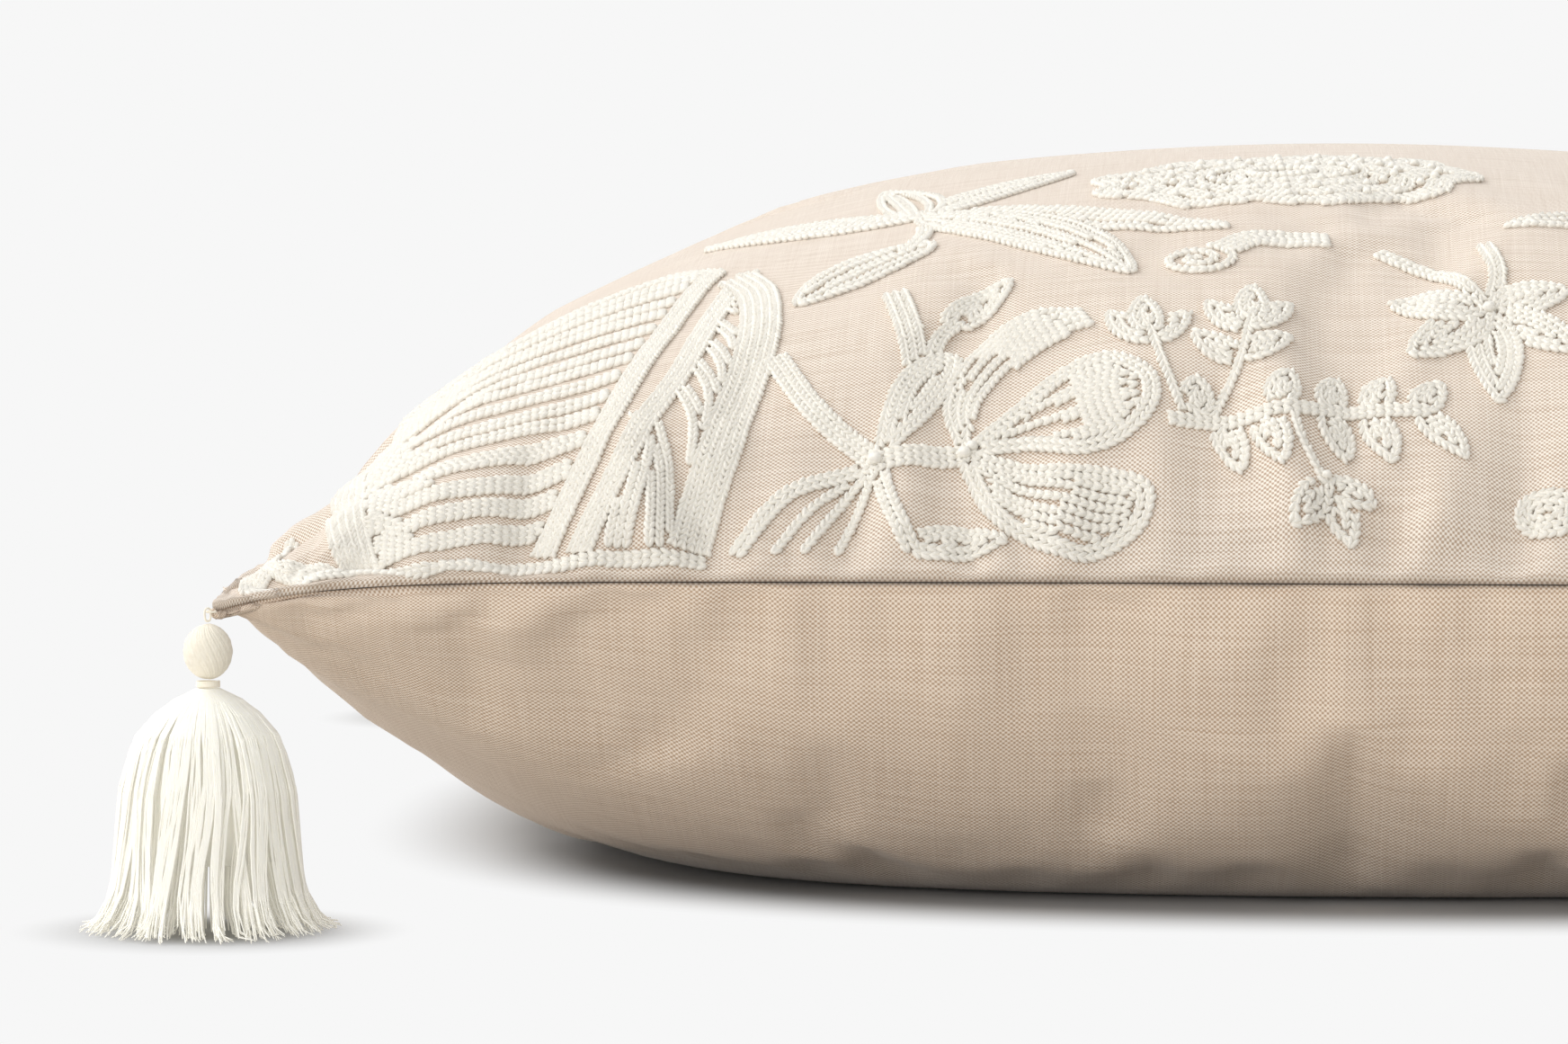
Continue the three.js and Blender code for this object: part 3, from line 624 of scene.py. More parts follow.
# %% Threads from paths
def threads(name, paths, radius, sides=0, taper=None):
    """Round threads along paths in millimetres, as one mesh."""
    curve = bpy.data.curves.new(name, "CURVE")
    curve.dimensions = "3D"
    curve.bevel_depth = radius * MM
    curve.bevel_resolution = sides
    curve.use_fill_caps = True
    for path in paths:
        spline = curve.splines.new("POLY")
        spline.points.add(len(path) - 1)
        row = np.hstack([np.asarray(path) * MM, np.ones((len(path), 1))])
        spline.points.foreach_set("co", row.ravel())
        if taper is not None:
            spline.points.foreach_set("radius", taper)
    holder = bpy.data.objects.new(name, curve)
    bpy.context.scene.collection.objects.link(holder)
    mesh = bpy.data.meshes.new_from_object(holder)
    bpy.data.objects.remove(holder)
    mesh.polygons.foreach_set("use_smooth", [True] * len(mesh.polygons))
    mesh.name = name
    return add_object(name, mesh)


# %% Courses on the flat cut
def smooth_course(points, closed=False, step=0.5):
    """A curve through the points, as closely spaced places."""
    p = np.asarray(points, dtype=float)
    if closed:
        p = np.vstack([p[-1], p, p[:2]])
    else:
        p = np.vstack([2 * p[0] - p[1], p, 2 * p[-1] - p[-2]])
    pieces = []
    for a, b, c, d in zip(p[:-3], p[1:-2], p[2:-1], p[3:]):
        count = max(int(np.linalg.norm(c - b) / step), 1)
        u = np.linspace(0, 1, count, endpoint=False)[:, None]
        bend = (2 * a - 5 * b + 4 * c - d) * u**2 + (3 * b - a - 3 * c + d) * u**3
        pieces.append(0.5 * (2 * b + (c - a) * u + bend))
    return np.vstack([*pieces, p[-2][None]])


def sideways(course):
    along = np.gradient(course, axis=0)
    along /= np.maximum(np.linalg.norm(along, axis=1, keepdims=True), 1e-9)
    return np.stack([-along[:, 1], along[:, 0]], axis=1)


def beside(course, *offsets):
    return [course + sideways(course) * offset for offset in offsets]


def run(points, rows=1, pitch=ROW_PITCH):
    """A stem: rows side by side along one course."""
    course = smooth_course(points)
    return beside(course, *[(k - (rows - 1) / 2) * pitch for k in range(rows)])


def nested(outline, rings=30, pitch=ROW_PITCH):
    """Rows that follow a closed outline inwards until they meet."""
    edge = smooth_course(outline, closed=True)
    area = np.sum(edge[:-1, 0] * edge[1:, 1] - edge[1:, 0] * edge[:-1, 1])
    inwards = sideways(edge) * np.sign(area)
    courses = []
    for ring in range(rings):
        depth = (ring + 0.45) * pitch
        course = edge + inwards * depth
        apart = np.linalg.norm(course[:, None] - edge[None, ::3], axis=2).min(axis=1)
        keep = apart > depth - 0.45
        if not keep.any():
            break
        breaks = np.flatnonzero(np.diff(keep.astype(int))) + 1
        for stretch, kept in zip(np.split(course, breaks), np.split(keep, breaks)):
            if kept[0] and len(stretch) > 5:
                courses.append(stretch)
    return courses


def leaf_outline(base, tip, width, bend=0.0):
    base, tip = np.array(base, float), np.array(tip, float)
    along = tip - base
    side = np.array([-along[1], along[0]]) / np.linalg.norm(along)
    shares = np.array([0, 0.12, 0.3, 0.5, 0.7, 0.88, 1])
    middle = base + shares[:, None] * along + side * (bend * np.sin(math.pi * shares))[:, None]
    out = (width / 2 * np.sin(math.pi * shares**0.8) ** 0.65)[:, None] * side
    return np.vstack([middle + out, (middle - out)[-2:0:-1]])


def small_leaf(base, tip, width=8.6):
    return nested(leaf_outline(base, tip, width, 0.4))


def paired(*edges):
    """The courses with as many places each as the shortest."""
    count = min(len(edge) for edge in edges)
    return [edge[np.linspace(0, len(edge) - 1, count).astype(int)] for edge in edges]


def ribbed_leaf(base, tip, width, rows, bend=0.0, gap_rows=()):
    """A leaf whose rows run from its base to its tip, with some left out as slits."""
    outline = leaf_outline(base, tip, width, bend)
    courses = nested(outline, rings=1)
    left = smooth_course(outline[:7])
    right = smooth_course(np.vstack([outline[:1], outline[:6:-1], outline[6:7]]))
    left, right = paired(left, right)
    for k in range(1, rows):
        if k not in gap_rows:
            courses.append(left + (right - left) * k / rows)
    return courses


# %% [markdown]
# Where rows meet, a stitcher stops short instead of piling yarn on yarn. So the rows of a motif
# are worked in order, and a link is left out where an earlier row already lies.

# %% Links along the courses
NEAREST = 0.78 * ROW_PITCH
HEADING_STEP = 0.6
CELL = 4  # the side of the squares that a motif's links are sorted into


def links_along(courses, draw):
    """Places, directions and size factors of the links of a motif, on the flat cut."""
    taken = {}
    places, headings, runs = [], [], []
    for course in courses:
        steps = np.linalg.norm(np.diff(course, axis=0), axis=1)
        reach = np.concatenate([[0], np.cumsum(steps)])
        count = max(int(round(reach[-1] / LINK_STEP)), 1)
        at = (np.arange(count) + 0.5) / count * reach[-1]
        spots, ahead, behind = [
            np.stack([np.interp(at + step, reach, axis) for axis in course.T], axis=1)
            for step in (0, HEADING_STEP, -HEADING_STEP)
        ]
        fresh, unbroken = [], []
        for spot, heading in zip(spots, ahead - behind):
            cell = (int(spot[0] // CELL), int(spot[1] // CELL))
            cells = [(cell[0] + i, cell[1] + j) for i in (-1, 0, 1) for j in (-1, 0, 1)]
            others = [other for around in cells for other in taken.get(around, ())]
            if all(math.dist(spot, other) > NEAREST for other in others):
                fresh.append((cell, spot))
                unbroken.append(len(places))
                places.append(spot)
                headings.append(heading)
            elif unbroken:
                runs.append(unbroken)
                unbroken = []
        runs.append(unbroken)
        for cell, spot in fresh:
            taken.setdefault(cell, []).append(spot)
    sizes = draw.normal(1, 0.06, len(places))
    return np.array(places), np.array(headings), sizes, [line for line in runs if len(line) > 1]


CUT_LINE = front_cut[0, :, 0]
FRONT_NORMALS = outward(front_rows, TOP)


def read_off(field, places):
    """The field's values at places on the flat cut, between its grid points."""
    index = np.interp(places, CUT_LINE, np.arange(len(CUT_LINE)))
    low = np.clip(index.astype(int), 0, len(CUT_LINE) - 2)
    (u, v), (i, j) = (index - low).T[..., None], low.T
    front = field[j, i] * (1 - u) + field[j, i + 1] * u
    rear = field[j + 1, i] * (1 - u) + field[j + 1, i + 1] * u
    return front * (1 - v) + rear * v


def unit(vectors):
    return vectors / np.maximum(np.linalg.norm(vectors, axis=1, keepdims=True), 1e-9)


def stitching(name, courses, seed, knots=()):
    draw = np.random.default_rng(seed)
    places, headings, sizes, runs = links_along(courses, draw)
    ahead = unit(headings)
    ground = read_off(front_rows, places)
    along = unit(read_off(front_rows, places + ahead * 0.8) - ground)
    normal = unit(read_off(FRONT_NORMALS, places))
    side = unit(np.cross(normal, along))
    frames, middles = [], []
    for hand in (-1, 1):
        lean = hand * (0.4 + draw.normal(0, 0.08, len(places)))[:, None]
        long = along * np.cos(lean) - side * np.sin(lean)
        wide = np.cross(normal, long)
        size = sizes[:, None]
        frames.append(np.stack([long * size * 1.75, wide * size * 0.8, normal * 1.05], axis=1))
        height = (0.55 + draw.normal(0, 0.07, len(places)))[:, None]
        middles.append(ground + side * hand * 0.52 + normal * height)
    for spot, radius in knots:
        spot = np.array([spot], float)
        up = unit(read_off(FRONT_NORMALS, spot))
        frames.append((np.eye(3) * radius)[None])
        middles.append(read_off(front_rows, spot) + up * (radius * 0.5 + 0.8))
    mesh = scattered(name, STRAND, np.vstack(frames), np.vstack(middles))
    lines = []
    for line in runs:
        ends = along[[line[0], line[-1]]] * LINK_STEP * 0.45
        path = (ground + normal * 0.1)[line]
        lines.append(np.vstack([path[:1] - ends[:1], path, path[-1:] + ends[1:]]))
    cords = threads("cords", lines, CORD_RADIUS, sides=1)
    bm = bmesh.new()
    bm.from_mesh(mesh)
    bm.from_mesh(cords.data)
    bpy.data.objects.remove(cords)
    return add_object(name, mesh_from(name, bm))


# %% [markdown]
# ## The design
# The front half of the design is drawn once, as courses in millimetres [across, rearwards] from
# the middle of the cut. Its side motifs are mirrored to the right, and the whole half is then
# turned round for the rear. The corner has a broad ribbed fern with a half fern beside it.

# %% Fern
LEAF_LEFT = [(-254, -286), (-260, -262), (-266, -220), (-269, -166), (-261, -122), (-240, -98)]
LEAF_RIGHT = [(-203, -285), (-194, -256), (-187, -229), (-178, -172), (-170, -118), (-165, -96)]
HALF_LEFT = [(-198, -285), (-187, -252), (-175, -207), (-169, -160), (-163, -122), (-160, -108)]
HALF_RIGHT = [(-166, -287), (-156, -238), (-150, -189), (-151, -141), (-157, -112)]
RIBS = 14


def along_course(course, share):
    return course[int(round(np.clip(share, 0, 1) * (len(course) - 1)))]


def fern():
    """A broad leaf: a solid left side, ribs with slits between them, and a bordered right side."""
    left, right = smooth_course(LEAF_LEFT), smooth_course(LEAF_RIGHT)
    tip = smooth_course([LEAF_LEFT[-1], (-208, -84), (-180, -82), LEAF_RIGHT[-1]])
    courses = [*beside(left, 0, -2.1, -4.2, -6.3, -8.4), *beside(right, 0, 2.1, 4.2)]
    courses += beside(tip, 0, -2.1, -4.2)
    courses += run([(-254, -288), (-225, -290), (-190, -289), (-166, -290)], 2)
    for k in range(RIBS):
        share = ((k + 0.75) / RIBS) ** 1.15
        start = along_course(left, share) + (8, 0.5)
        end = along_course(right, share + 0.035)
        wave = 1.2 * math.sin(2.1 * k)
        for offset in (-2.1, 0.0, 2.1):
            middle = (start + end) / 2 + (0, offset + wave - 1.5)
            finish = end + (0, offset * 1.25)
            courses.append(smooth_course([start + (0, offset), middle, finish]))
        reach = 0.3 + 0.1 * math.sin(3.7 * k)
        filler = start + (end - start) * reach
        for offset in (4.2, 6.3, 8.4, 10.5):
            shorter = filler - (offset, 0)
            courses.append(smooth_course([start + (0, offset), shorter + (0, offset)]))
    return courses + half_fern() + corner_sprig()


def half_fern():
    """A bordered half leaf whose strips hang from its left side like fingers."""
    left, right = smooth_course(HALF_LEFT), smooth_course(HALF_RIGHT)
    courses = [*beside(right, 0, 2.1, 4.2, 6.3, 8.4), *beside(left, 0, -2.1, -4.2)]
    head = [(along_course(left, share), along_course(right, share)) for share in (0.74, 0.86, 1)]
    for part in (0.25, 0.5, 0.75):
        courses.append(smooth_course([one * (1 - part) + other * part for one, other in head]))
    for share in (0.84, 0.74, 0.64, 0.54, 0.44):
        top = along_course(left, share)
        low = along_course(right, share - 0.4) + (-7, 0)
        bend = (top * 0.45 + low * 0.55) + (5, 5)
        courses += run([top, bend, low], 2)
    top = along_course(left, 0.3)
    for foot in ((-187, -285), (-177, -286)):
        courses += run([top, (top + foot) / 2 + (2, 3), foot], 3)
    return courses


def corner_sprig():
    courses = run([(-252, -289), (-270, -288), (-288, -284)], 1)
    courses += nested(leaf_outline((-256, -285), (-283, -263), 9.5, 1.5))
    return courses + nested(leaf_outline((-289, -284), (-281, -236), 13, -1.5))


# %% Bloom
SLIT_SHARE = 0.58


def petal(left, right, rows, skipped=()):
    """Rows fanning out from a hub, between a petal's two edges, with slits near the hub."""
    one, other = paired(smooth_course(left), smooth_course(right))
    courses = []
    for k in range(rows + 1):
        start = int(len(one) * SLIT_SHARE) if k in skipped else 0
        courses.append((one + (other - one) * k / rows)[start:])
    return courses


def bloom():
    hub, heart = (-125, -260), (-103, -258)
    courses = run([hub, (-114, -259), heart], 3, 2.2)
    courses += run([(-150, -214), (-140, -240), hub], 3, 2.1)
    for end, middle in (
        ((-159, -288), (-146, -269)),
        ((-150, -288), (-139, -272)),
        ((-143, -288), (-134, -273)),
        ((-135, -288), (-129, -274)),
    ):
        courses += run([hub, middle, end], 2 if end[0] < -155 else 1)
    courses += run([hub, (-122, -274), (-117, -288)], 2)
    courses += nested(leaf_outline((-119, -287), (-93, -285), 10.5, 1.0))
    bud = [(-124, -244), (-119, -228), (-110, -219), (-103, -222), (-108, -238), (-117, -252)]
    courses += nested([hub, *bud])
    courses += run([(-115, -226), (-117, -208), (-120, -188)], 3)
    courses += run([(-112, -224), (-109, -212), (-104, -204)], 2)
    courses += nested(leaf_outline((-108, -208), (-90, -187), 11))
    upper = [heart, (-107, -240), (-99, -219), (-86, -206), (-73, -207)]
    lower = [(-102, -251), (-98, -239), (-90, -227), (-80, -218), (-70, -214)]
    courses += petal(upper, lower, 7, (3, 5))
    top = [(-100, -254), (-91, -243), (-79, -231), (-67, -227), (-57, -235)]
    bottom = [heart, (-88, -258), (-75, -262), (-63, -257), (-56, -247)]
    courses += nested([heart, *top[1:], *reversed(bottom[1:])], rings=2)
    courses += petal(top, bottom, 17, (3, 4, 7, 8, 11, 12))
    far = [heart, (-84, -264), (-70, -266), (-61, -269), (-58, -275)]
    near = [heart, (-101, -272), (-92, -284), (-76, -291), (-62, -284)]
    courses += nested([heart, *far[1:], *reversed(near[1:])], rings=2)
    return courses + petal(far, near, 19, (3, 4, 7, 10))


# %% Spray, twig, star and the small motifs
def spray():
    hub = (-113, -92)
    courses = ribbed_leaf(hub, (-60, -174), 27, 12, 4, (4, 7))
    courses += ribbed_leaf(hub, (-34, -137), 20, 9, -3, (3, 6))
    courses += ribbed_leaf(hub, (-172, -52), 19, 8, 3, (3,))
    courses += ribbed_leaf(hub, (-122, -28), 17, 7, -2, (4,))
    courses += ribbed_leaf(hub, (-72, -42), 17, 7, 2, (3,))
    courses += run([hub, (-112, -118), (-117, -138)], 2)
    return courses + ribbed_leaf((-110, -132), (-145, -171), 21, 9, -3, (3, 6))


def twig():
    courses = run([(-54, -252), (-28, -251), (-12, -247), (10, -247)], 2, 2.0)
    courses += run([(-43, -250), (-36, -232), (-32, -212)], 1)
    courses += run([(-50, -251), (-54, -234), (-57, -217)], 1)
    courses += run([(-24, -250), (-22, -260), (-17, -272)], 1)
    for base, *tips in (
        ((-46, -250), (-47, -236)),
        ((-27, -250), (-24, -236)),
        ((-15, -248), (-12, -234)),
        ((-4, -247), (1, -234)),
        ((7, -248), (14, -236)),
        ((-42, -250), (-36, -268)),
        ((-32, -250), (-26, -268)),
        ((-16, -248), (-11, -264)),
        ((-5, -247), (0, -264)),
        ((7, -247), (18, -263)),
        ((-32, -216), (-31, -197)),
        ((-33, -220), (-43, -205)),
        ((-33, -219), (-22, -205)),
        ((-35, -231), (-47, -219), (-23, -221)),
        ((-57, -221), (-58, -202)),
        ((-57, -224), (-67, -209), (-47, -210)),
        ((-17, -271), (-25, -284), (-5, -277), (-11, -288)),
    ):
        for tip in tips:
            courses += small_leaf(base, tip)
    return courses


def star():
    hub = (28, -205)
    courses = []
    for tip in ((3, -200), (7, -226), (28, -243), (50, -224), (49, -196)):
        courses += small_leaf(hub, tip, 14)
    courses += run([hub, (20, -188), (2, -172)], 2)
    return courses + run([hub, (32, -188), (30, -170)], 2)


def scroll():
    turns = np.linspace(0, 4.4 * math.pi, 40)
    curl = [(-44 + 0.72 * a * math.cos(a), -174 + 0.72 * a * math.sin(a)) for a in turns]
    return [smooth_course(curl)] + run([(-36, -167), (-28, -160), (-10, -160)], 4, 2.2)


ROSETTE_MIDDLE = (-18, -98)
ROSETTE_STEP = (2.7, 1.7)  # from ring to ring, across and rearwards
ROSETTE_RINGS = 19
DRAW_LINE = -240


def drawn(courses, share):
    """Beyond the draw line a motif is shortened by a share of its length there."""
    shortened = []
    for course in courses:
        beyond = np.maximum(course[:, 1] - DRAW_LINE, 0)
        shortened.append(course - np.outer(beyond, (0, share)))
    return shortened


def rosette_ring(ring, turns, ripple=1.0):
    wide, deep = ROSETTE_STEP
    x = ROSETTE_MIDDLE[0] + wide * ring * np.cos(turns) * ripple
    y = ROSETTE_MIDDLE[1] + deep * ring * np.sin(turns) * ripple
    return np.stack([x, y], axis=1)


def rosette():
    """Rings of chain, with every fourth one left open for a ring of knots."""
    turns = np.linspace(0, 2 * math.pi, 60)
    courses = []
    for ring in range(1, ROSETTE_RINGS + 1):
        ripple = 1 + 0.06 * np.cos(9 * turns) * (ring > 8)
        if ring % 4 != 3:
            courses.append(rosette_ring(ring, turns, ripple))
    return courses


def rosette_knots(share):
    turns = np.arange(24) * 2 * math.pi / 24
    places = drawn([np.vstack([rosette_ring(ring, turns) for ring in (3, 7, 11, 15)])], share)[0]
    return [(place, 1.3) for place in places]


def oval():
    turns = np.arange(0, 6.2, 0.52)
    return nested([(37 + 8.5 * math.cos(turn), -277 + 7 * math.sin(turn)) for turn in turns])


# %% [markdown]
# The yarn is a soft, slightly fuzzy wool and cotton mix. Its relief is mostly the links
# themselves, and the finish adds fine fibres and a little shade between them.

# %% Work the motifs
def yarn_finish(name, shade, dark, grain, stretch, depth, glow=0.0):
    """Yarn; glow is a painted glow: emission standing for the light that comes through loose fibres
    from behind.
    """
    material, tree, shader = new_finish(name, Roughness=0.86, Sheen_Weight=0.35)
    shader.inputs["Emission Color"].default_value = shade
    shader.inputs["Emission Strength"].default_value = glow
    places = stretched(tree, object_places(tree), stretch)
    fine = noise(tree, places, grain, 3.0)
    plug(tree, shader.inputs["Base Color"], blend(tree, fine, dark, shade))
    raise_bumps(tree, shader, fine, depth, 0.8)
    return material


IVORY, IVORY_SHADE = colour(250, 247, 240), colour(229, 223, 210)
STITCH_YARN = yarn_finish("stitch yarn", IVORY, IVORY_SHADE, 1900.0, (1.0, 1.0, 1.0), 0.16 * MM)
HALF_DESIGN = {
    "fern_left": (drawn(fern(), 0.28), []),
    "bloom_left": (bloom(), [((-125, -260), 2.0), ((-103, -258), 1.9), ((-101, -256), 1.6)]),
    "spray_left": (drawn(spray(), 0.2), []),
    "twig": (twig(), [((-17, -270), 1.4)]),
    "star": (star(), [((28, -205), 1.8)]),
    "scroll": (drawn(scroll(), 0.09), []),
    "rosette": (drawn(rosette(), 0.09), rosette_knots(0.09)),
    "oval": (oval(), []),
}
MIRROR = np.array([-1, 1])
DESIGN_LEAN = 0.05
DESIGN_SHIFT = (11, 0)  # for the left and middle motifs of the front
DESIGN_FOOT = -280.0
stitched = []


def leaning(course):
    """The left half of the design drifts outwards a little as it goes rearwards."""
    return course - np.outer(course[:, 1] - DESIGN_FOOT, (DESIGN_LEAN, 0))


def work_motif(name, courses, knots, flip, seed, shift=(0, 0)):
    placed = [leaning(np.asarray(course)) * flip + shift for course in courses]
    moved = [(leaning(np.array([spot]))[0] * flip + shift, radius) for spot, radius in knots]
    piece = stitching(f"stitching_{name}", placed, seed, moved)
    finish_piece(piece, STITCH_YARN, "cover", f"stitched_{name}")
    stitched.append(piece)


for seed, (motif, (courses, knots)) in enumerate(HALF_DESIGN.items()):
    sides = [(motif, np.array([1, 1]))]
    if motif.endswith("_left"):
        sides.append((motif.replace("_left", "_right"), MIRROR))
    for name, flip in sides:
        shift = (0, 0) if name.endswith("_right") else DESIGN_SHIFT
        work_motif(f"front_{name}", courses, knots, flip, 40 + seed, shift)
        work_motif(f"rear_{name}", courses, knots, -flip, 80 + seed)
yarn_points = sum(len(piece.data.vertices) for piece in stitched)
print("stitched", len(stitched), "motifs with", yarn_points, "points")

# %% [markdown]
# ## Tassels
# A tassel is a hank of yarn tied under a small wrapped ball. About 1100 strands leave the neck,
# bend over like a dome and hang in loose locks whose cut ends splay on the floor. Half of them
# make the outside and the rest fill the hank. A turned core closes it near the neck.

# %% Strands of the skirt
SKIRT_SHAPE = (  # share of the height, and radius there
    *((0.0, 25.6), (0.05, 25.4), (0.3, 23.2), (0.6, 21.6)),
    *((0.8, 18.2), (0.93, 11.4), (1.0, 3.0)),
)
STRANDS = 1100
LOCKS = 46
STRAND_RADIUS = 0.26
STRAND_POINTS = 13
CORE_SHARE = 0.8
CORE_FOOT = 0.45


def skirt_radius(share):
    shares, radii = zip(*SKIRT_SHAPE)
    return np.interp(share, shares, radii)


def skirt_paths(middle, top, draw):
    """Strands from the neck to the floor, gathered into locks."""
    locks = np.sort(draw.uniform(0, 2 * math.pi, LOCKS))
    sway = draw.uniform(-0.16, 0.16, (LOCKS, 2))
    puff = draw.uniform(-1.2, 0.7, LOCKS)
    paths = []
    for k in range(STRANDS):
        start = draw.uniform(0, 2 * math.pi)
        lock = int(np.argmin(np.abs((locks - start + math.pi) % (2 * math.pi) - math.pi)))
        pull = (locks[lock] - start + math.pi) % (2 * math.pi) - math.pi
        layer = 1.0 if k % 2 else draw.uniform(0.1, 1.0) ** 0.5
        length = draw.uniform(0.93, 1.09)
        fall = np.linspace(0, 1, STRAND_POINTS) ** 1.25 * length
        share = np.clip(1 - fall, 0.0, 1)
        radius = (skirt_radius(share) - STRAND_RADIUS) * layer + puff[lock] * np.sin(math.pi * fall)
        splay = np.clip(fall - 0.86, 0, 1)
        radius = np.maximum(radius, 2.2) + splay * draw.uniform(6, 36)
        turn = start + pull * 0.3 * fall**1.4
        turn = turn + sway[lock, 0] * np.sin(5.2 * fall + 6 * sway[lock, 1]) * fall
        turn = turn + draw.uniform(-0.02, 0.02) * np.sin(14 * fall + k)
        height = np.maximum(share * top, STRAND_RADIUS + draw.uniform(0.1, 1.6))
        height[0] = top
        x = middle[0] + radius * np.cos(turn)
        y = middle[1] + radius * np.sin(turn)
        paths.append(np.stack([x, y, height], axis=1))
    return paths


# %% The turned parts of a tassel
def turned(name, profile, middle, steps=40):
    """A closed solid of revolution, from radius and height pairs, lowest first."""
    bm = bmesh.new()
    points = [bm.verts.new((radius, 0, z)) for radius, z in profile]
    edges = [bm.edges.new(pair) for pair in zip(points[:-1], points[1:])]
    settings = {"cent": (0, 0, 0), "axis": (0, 0, 1), "angle": 2 * math.pi, "steps": steps}
    bmesh.ops.spin(bm, geom=points + edges, use_merge=True, **settings)
    bmesh.ops.remove_doubles(bm, verts=bm.verts[:], dist=1e-4)
    bmesh.ops.recalc_face_normals(bm, faces=bm.faces[:])
    bmesh.ops.translate(bm, verts=bm.verts[:], vec=(middle[0], middle[1], 0))
    bmesh.ops.scale(bm, verts=bm.verts[:], vec=(MM, MM, MM))
    return add_object(name, mesh_from(name, bm))


def wound_ball(name, middle, low, high, draw):
    """An ellipsoid wrapped lengthwise in fine yarn, a little lopsided as hand winding is."""
    bm = bmesh.new()
    bmesh.ops.create_uvsphere(bm, u_segments=120, v_segments=40, radius=1)
    size = Vector((6.0, 6.0, (high - low) / 2))
    shift = draw.uniform(0, 6.28)
    for vert in bm.verts:
        x, y, z = vert.co
        turn = math.atan2(y, x) + 0.55 * z
        groove = 0.03 * math.cos(40 * turn) + 0.012 * math.cos(17 * turn + shift)
        vert.co *= 1 + groove * (1 - z * z) ** 0.5 + 0.015 * math.sin(2 * turn + shift)
    bmesh.ops.scale(bm, verts=bm.verts[:], vec=size)
    bmesh.ops.translate(bm, verts=bm.verts[:], vec=(middle[0], middle[1], (high + low) / 2))
    bmesh.ops.scale(bm, verts=bm.verts[:], vec=(MM, MM, MM))
    return add_object(name, mesh_from(name, bm))


# %% Make the four tassels
TASSEL_SHADES = colour(255, 254, 247), colour(246, 242, 229)
BALL_SHADES = colour(250, 245, 232), colour(230, 220, 199)
TASSEL_GRAIN, BALL_GRAIN = (4.0, 4.0, 0.5), (3.0, 3.0, 0.4)  # drawn out along the strands
# The tassel and ball yarns get a small painted glow, emission that brightens their shaded sides.
TASSEL_YARN = yarn_finish("tassel yarn", *TASSEL_SHADES, 420.0, TASSEL_GRAIN, 0.1 * MM, 0.1)
BALL_YARN = yarn_finish("ball yarn", *BALL_SHADES, 900.0, BALL_GRAIN, 0.15 * MM, 0.06)
BINDING_TURNS, BINDING_RADIUS = 4, 0.3


def in_millimetres(node_name):
    return np.array([list(corner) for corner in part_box(node_name)]) / MM


def helix(middle, radius, low, high, turns):
    steps = np.linspace(0, 1, int(turns * 14) + 1)
    angle = steps * turns * 2 * math.pi
    x, y = middle[0] + radius * np.cos(angle), middle[1] + radius * np.sin(angle)
    return np.stack([x, y, low + (high - low) * steps], axis=1)


for number, place in enumerate(("front_left", "front_right", "rear_right", "rear_left")):
    draw = np.random.default_rng(100 + number)
    skirt = in_millimetres(f"tassel_skirt_{place}")
    middle = skirt.mean(axis=0)[:2]
    top = skirt[1, 2]
    strands = threads(
        f"tassel_yarns_{place}",
        skirt_paths(middle, top, draw),
        STRAND_RADIUS,
        taper=[0.8] + [1.0] * (STRAND_POINTS - 2) + [0.55],
    )
    wall = [(CORE_SHARE * radius, share * top) for share, radius in SKIRT_SHAPE[2:]]
    profile = [(0, CORE_FOOT * top), *wall, (0, top)]
    core = turned(f"tassel_core_{place}", profile, middle)
    finish_piece(strands, TASSEL_YARN, f"tassel_{place}", f"tassel_skirt_{place}")
    finish_piece(core, TASSEL_YARN, f"tassel_{place}", f"tassel_skirt_{place}")
    low, high = in_millimetres(f"tassel_head_{place}")[:, 2]
    ball = wound_ball(f"tassel_ball_{place}", middle, low, high, draw)
    finish_piece(ball, BALL_YARN, f"tassel_{place}", f"tassel_head_{place}")
    low, high = in_millimetres(f"tassel_tie_{place}")[:, 2]
    wound = helix(middle, 2.75, low + BINDING_RADIUS, high - BINDING_RADIUS, BINDING_TURNS)
    binding = threads(f"tassel_binding_{place}", [wound], BINDING_RADIUS, 2)
    finish_piece(binding, BALL_YARN, f"tassel_{place}", f"tassel_tie_{place}")
    for word, body in (("tassel_loop", f"loop_{place}"), ("corner_stitch", "cover")):
        original = frame["nodes"][f"{word}_{place}"]
        bm = bmesh.new()
        bm.from_mesh(original.data)
        bmesh.ops.remove_doubles(bm, verts=bm.verts[:], dist=1e-6)
        thread = add_object(f"{word}_thread_{place}", mesh_from(word, bm))
        rounding = thread.modifiers.new("rounding", "SUBSURF")
        rounding.levels = rounding.render_levels = 2
        finish_piece(thread, BALL_YARN, body, f"{word}_{place}")
    print(place, "tassel:", len(strands.data.vertices), "points in", STRANDS, "strands")

# %% [markdown]
# ## The zip
# The rear seam hides a nylon coil zip. Its two coils are sewn to woven tape, and a small cast
# slider runs on them with its pull outside. The castings keep their CAD shapes, with every
# sharp edge eased by a bevel, because light catches a rounded edge.

# %% Zip
def eased_copy(name, node_name, width):
    bm = bmesh.new()
    bm.from_mesh(frame["nodes"][node_name].data)
    bmesh.ops.remove_doubles(bm, verts=bm.verts[:], dist=1e-6)
    bmesh.ops.dissolve_limit(bm, angle_limit=0.02, verts=bm.verts[:], edges=bm.edges[:])
    piece = add_object(name, mesh_from(name, bm, smooth=False))
    ease = piece.modifiers.new("ease", "BEVEL")
    ease.width = width * MM
    ease.segments = 2
    ease.limit_method = "ANGLE"
    ease.harden_normals = False
    return piece


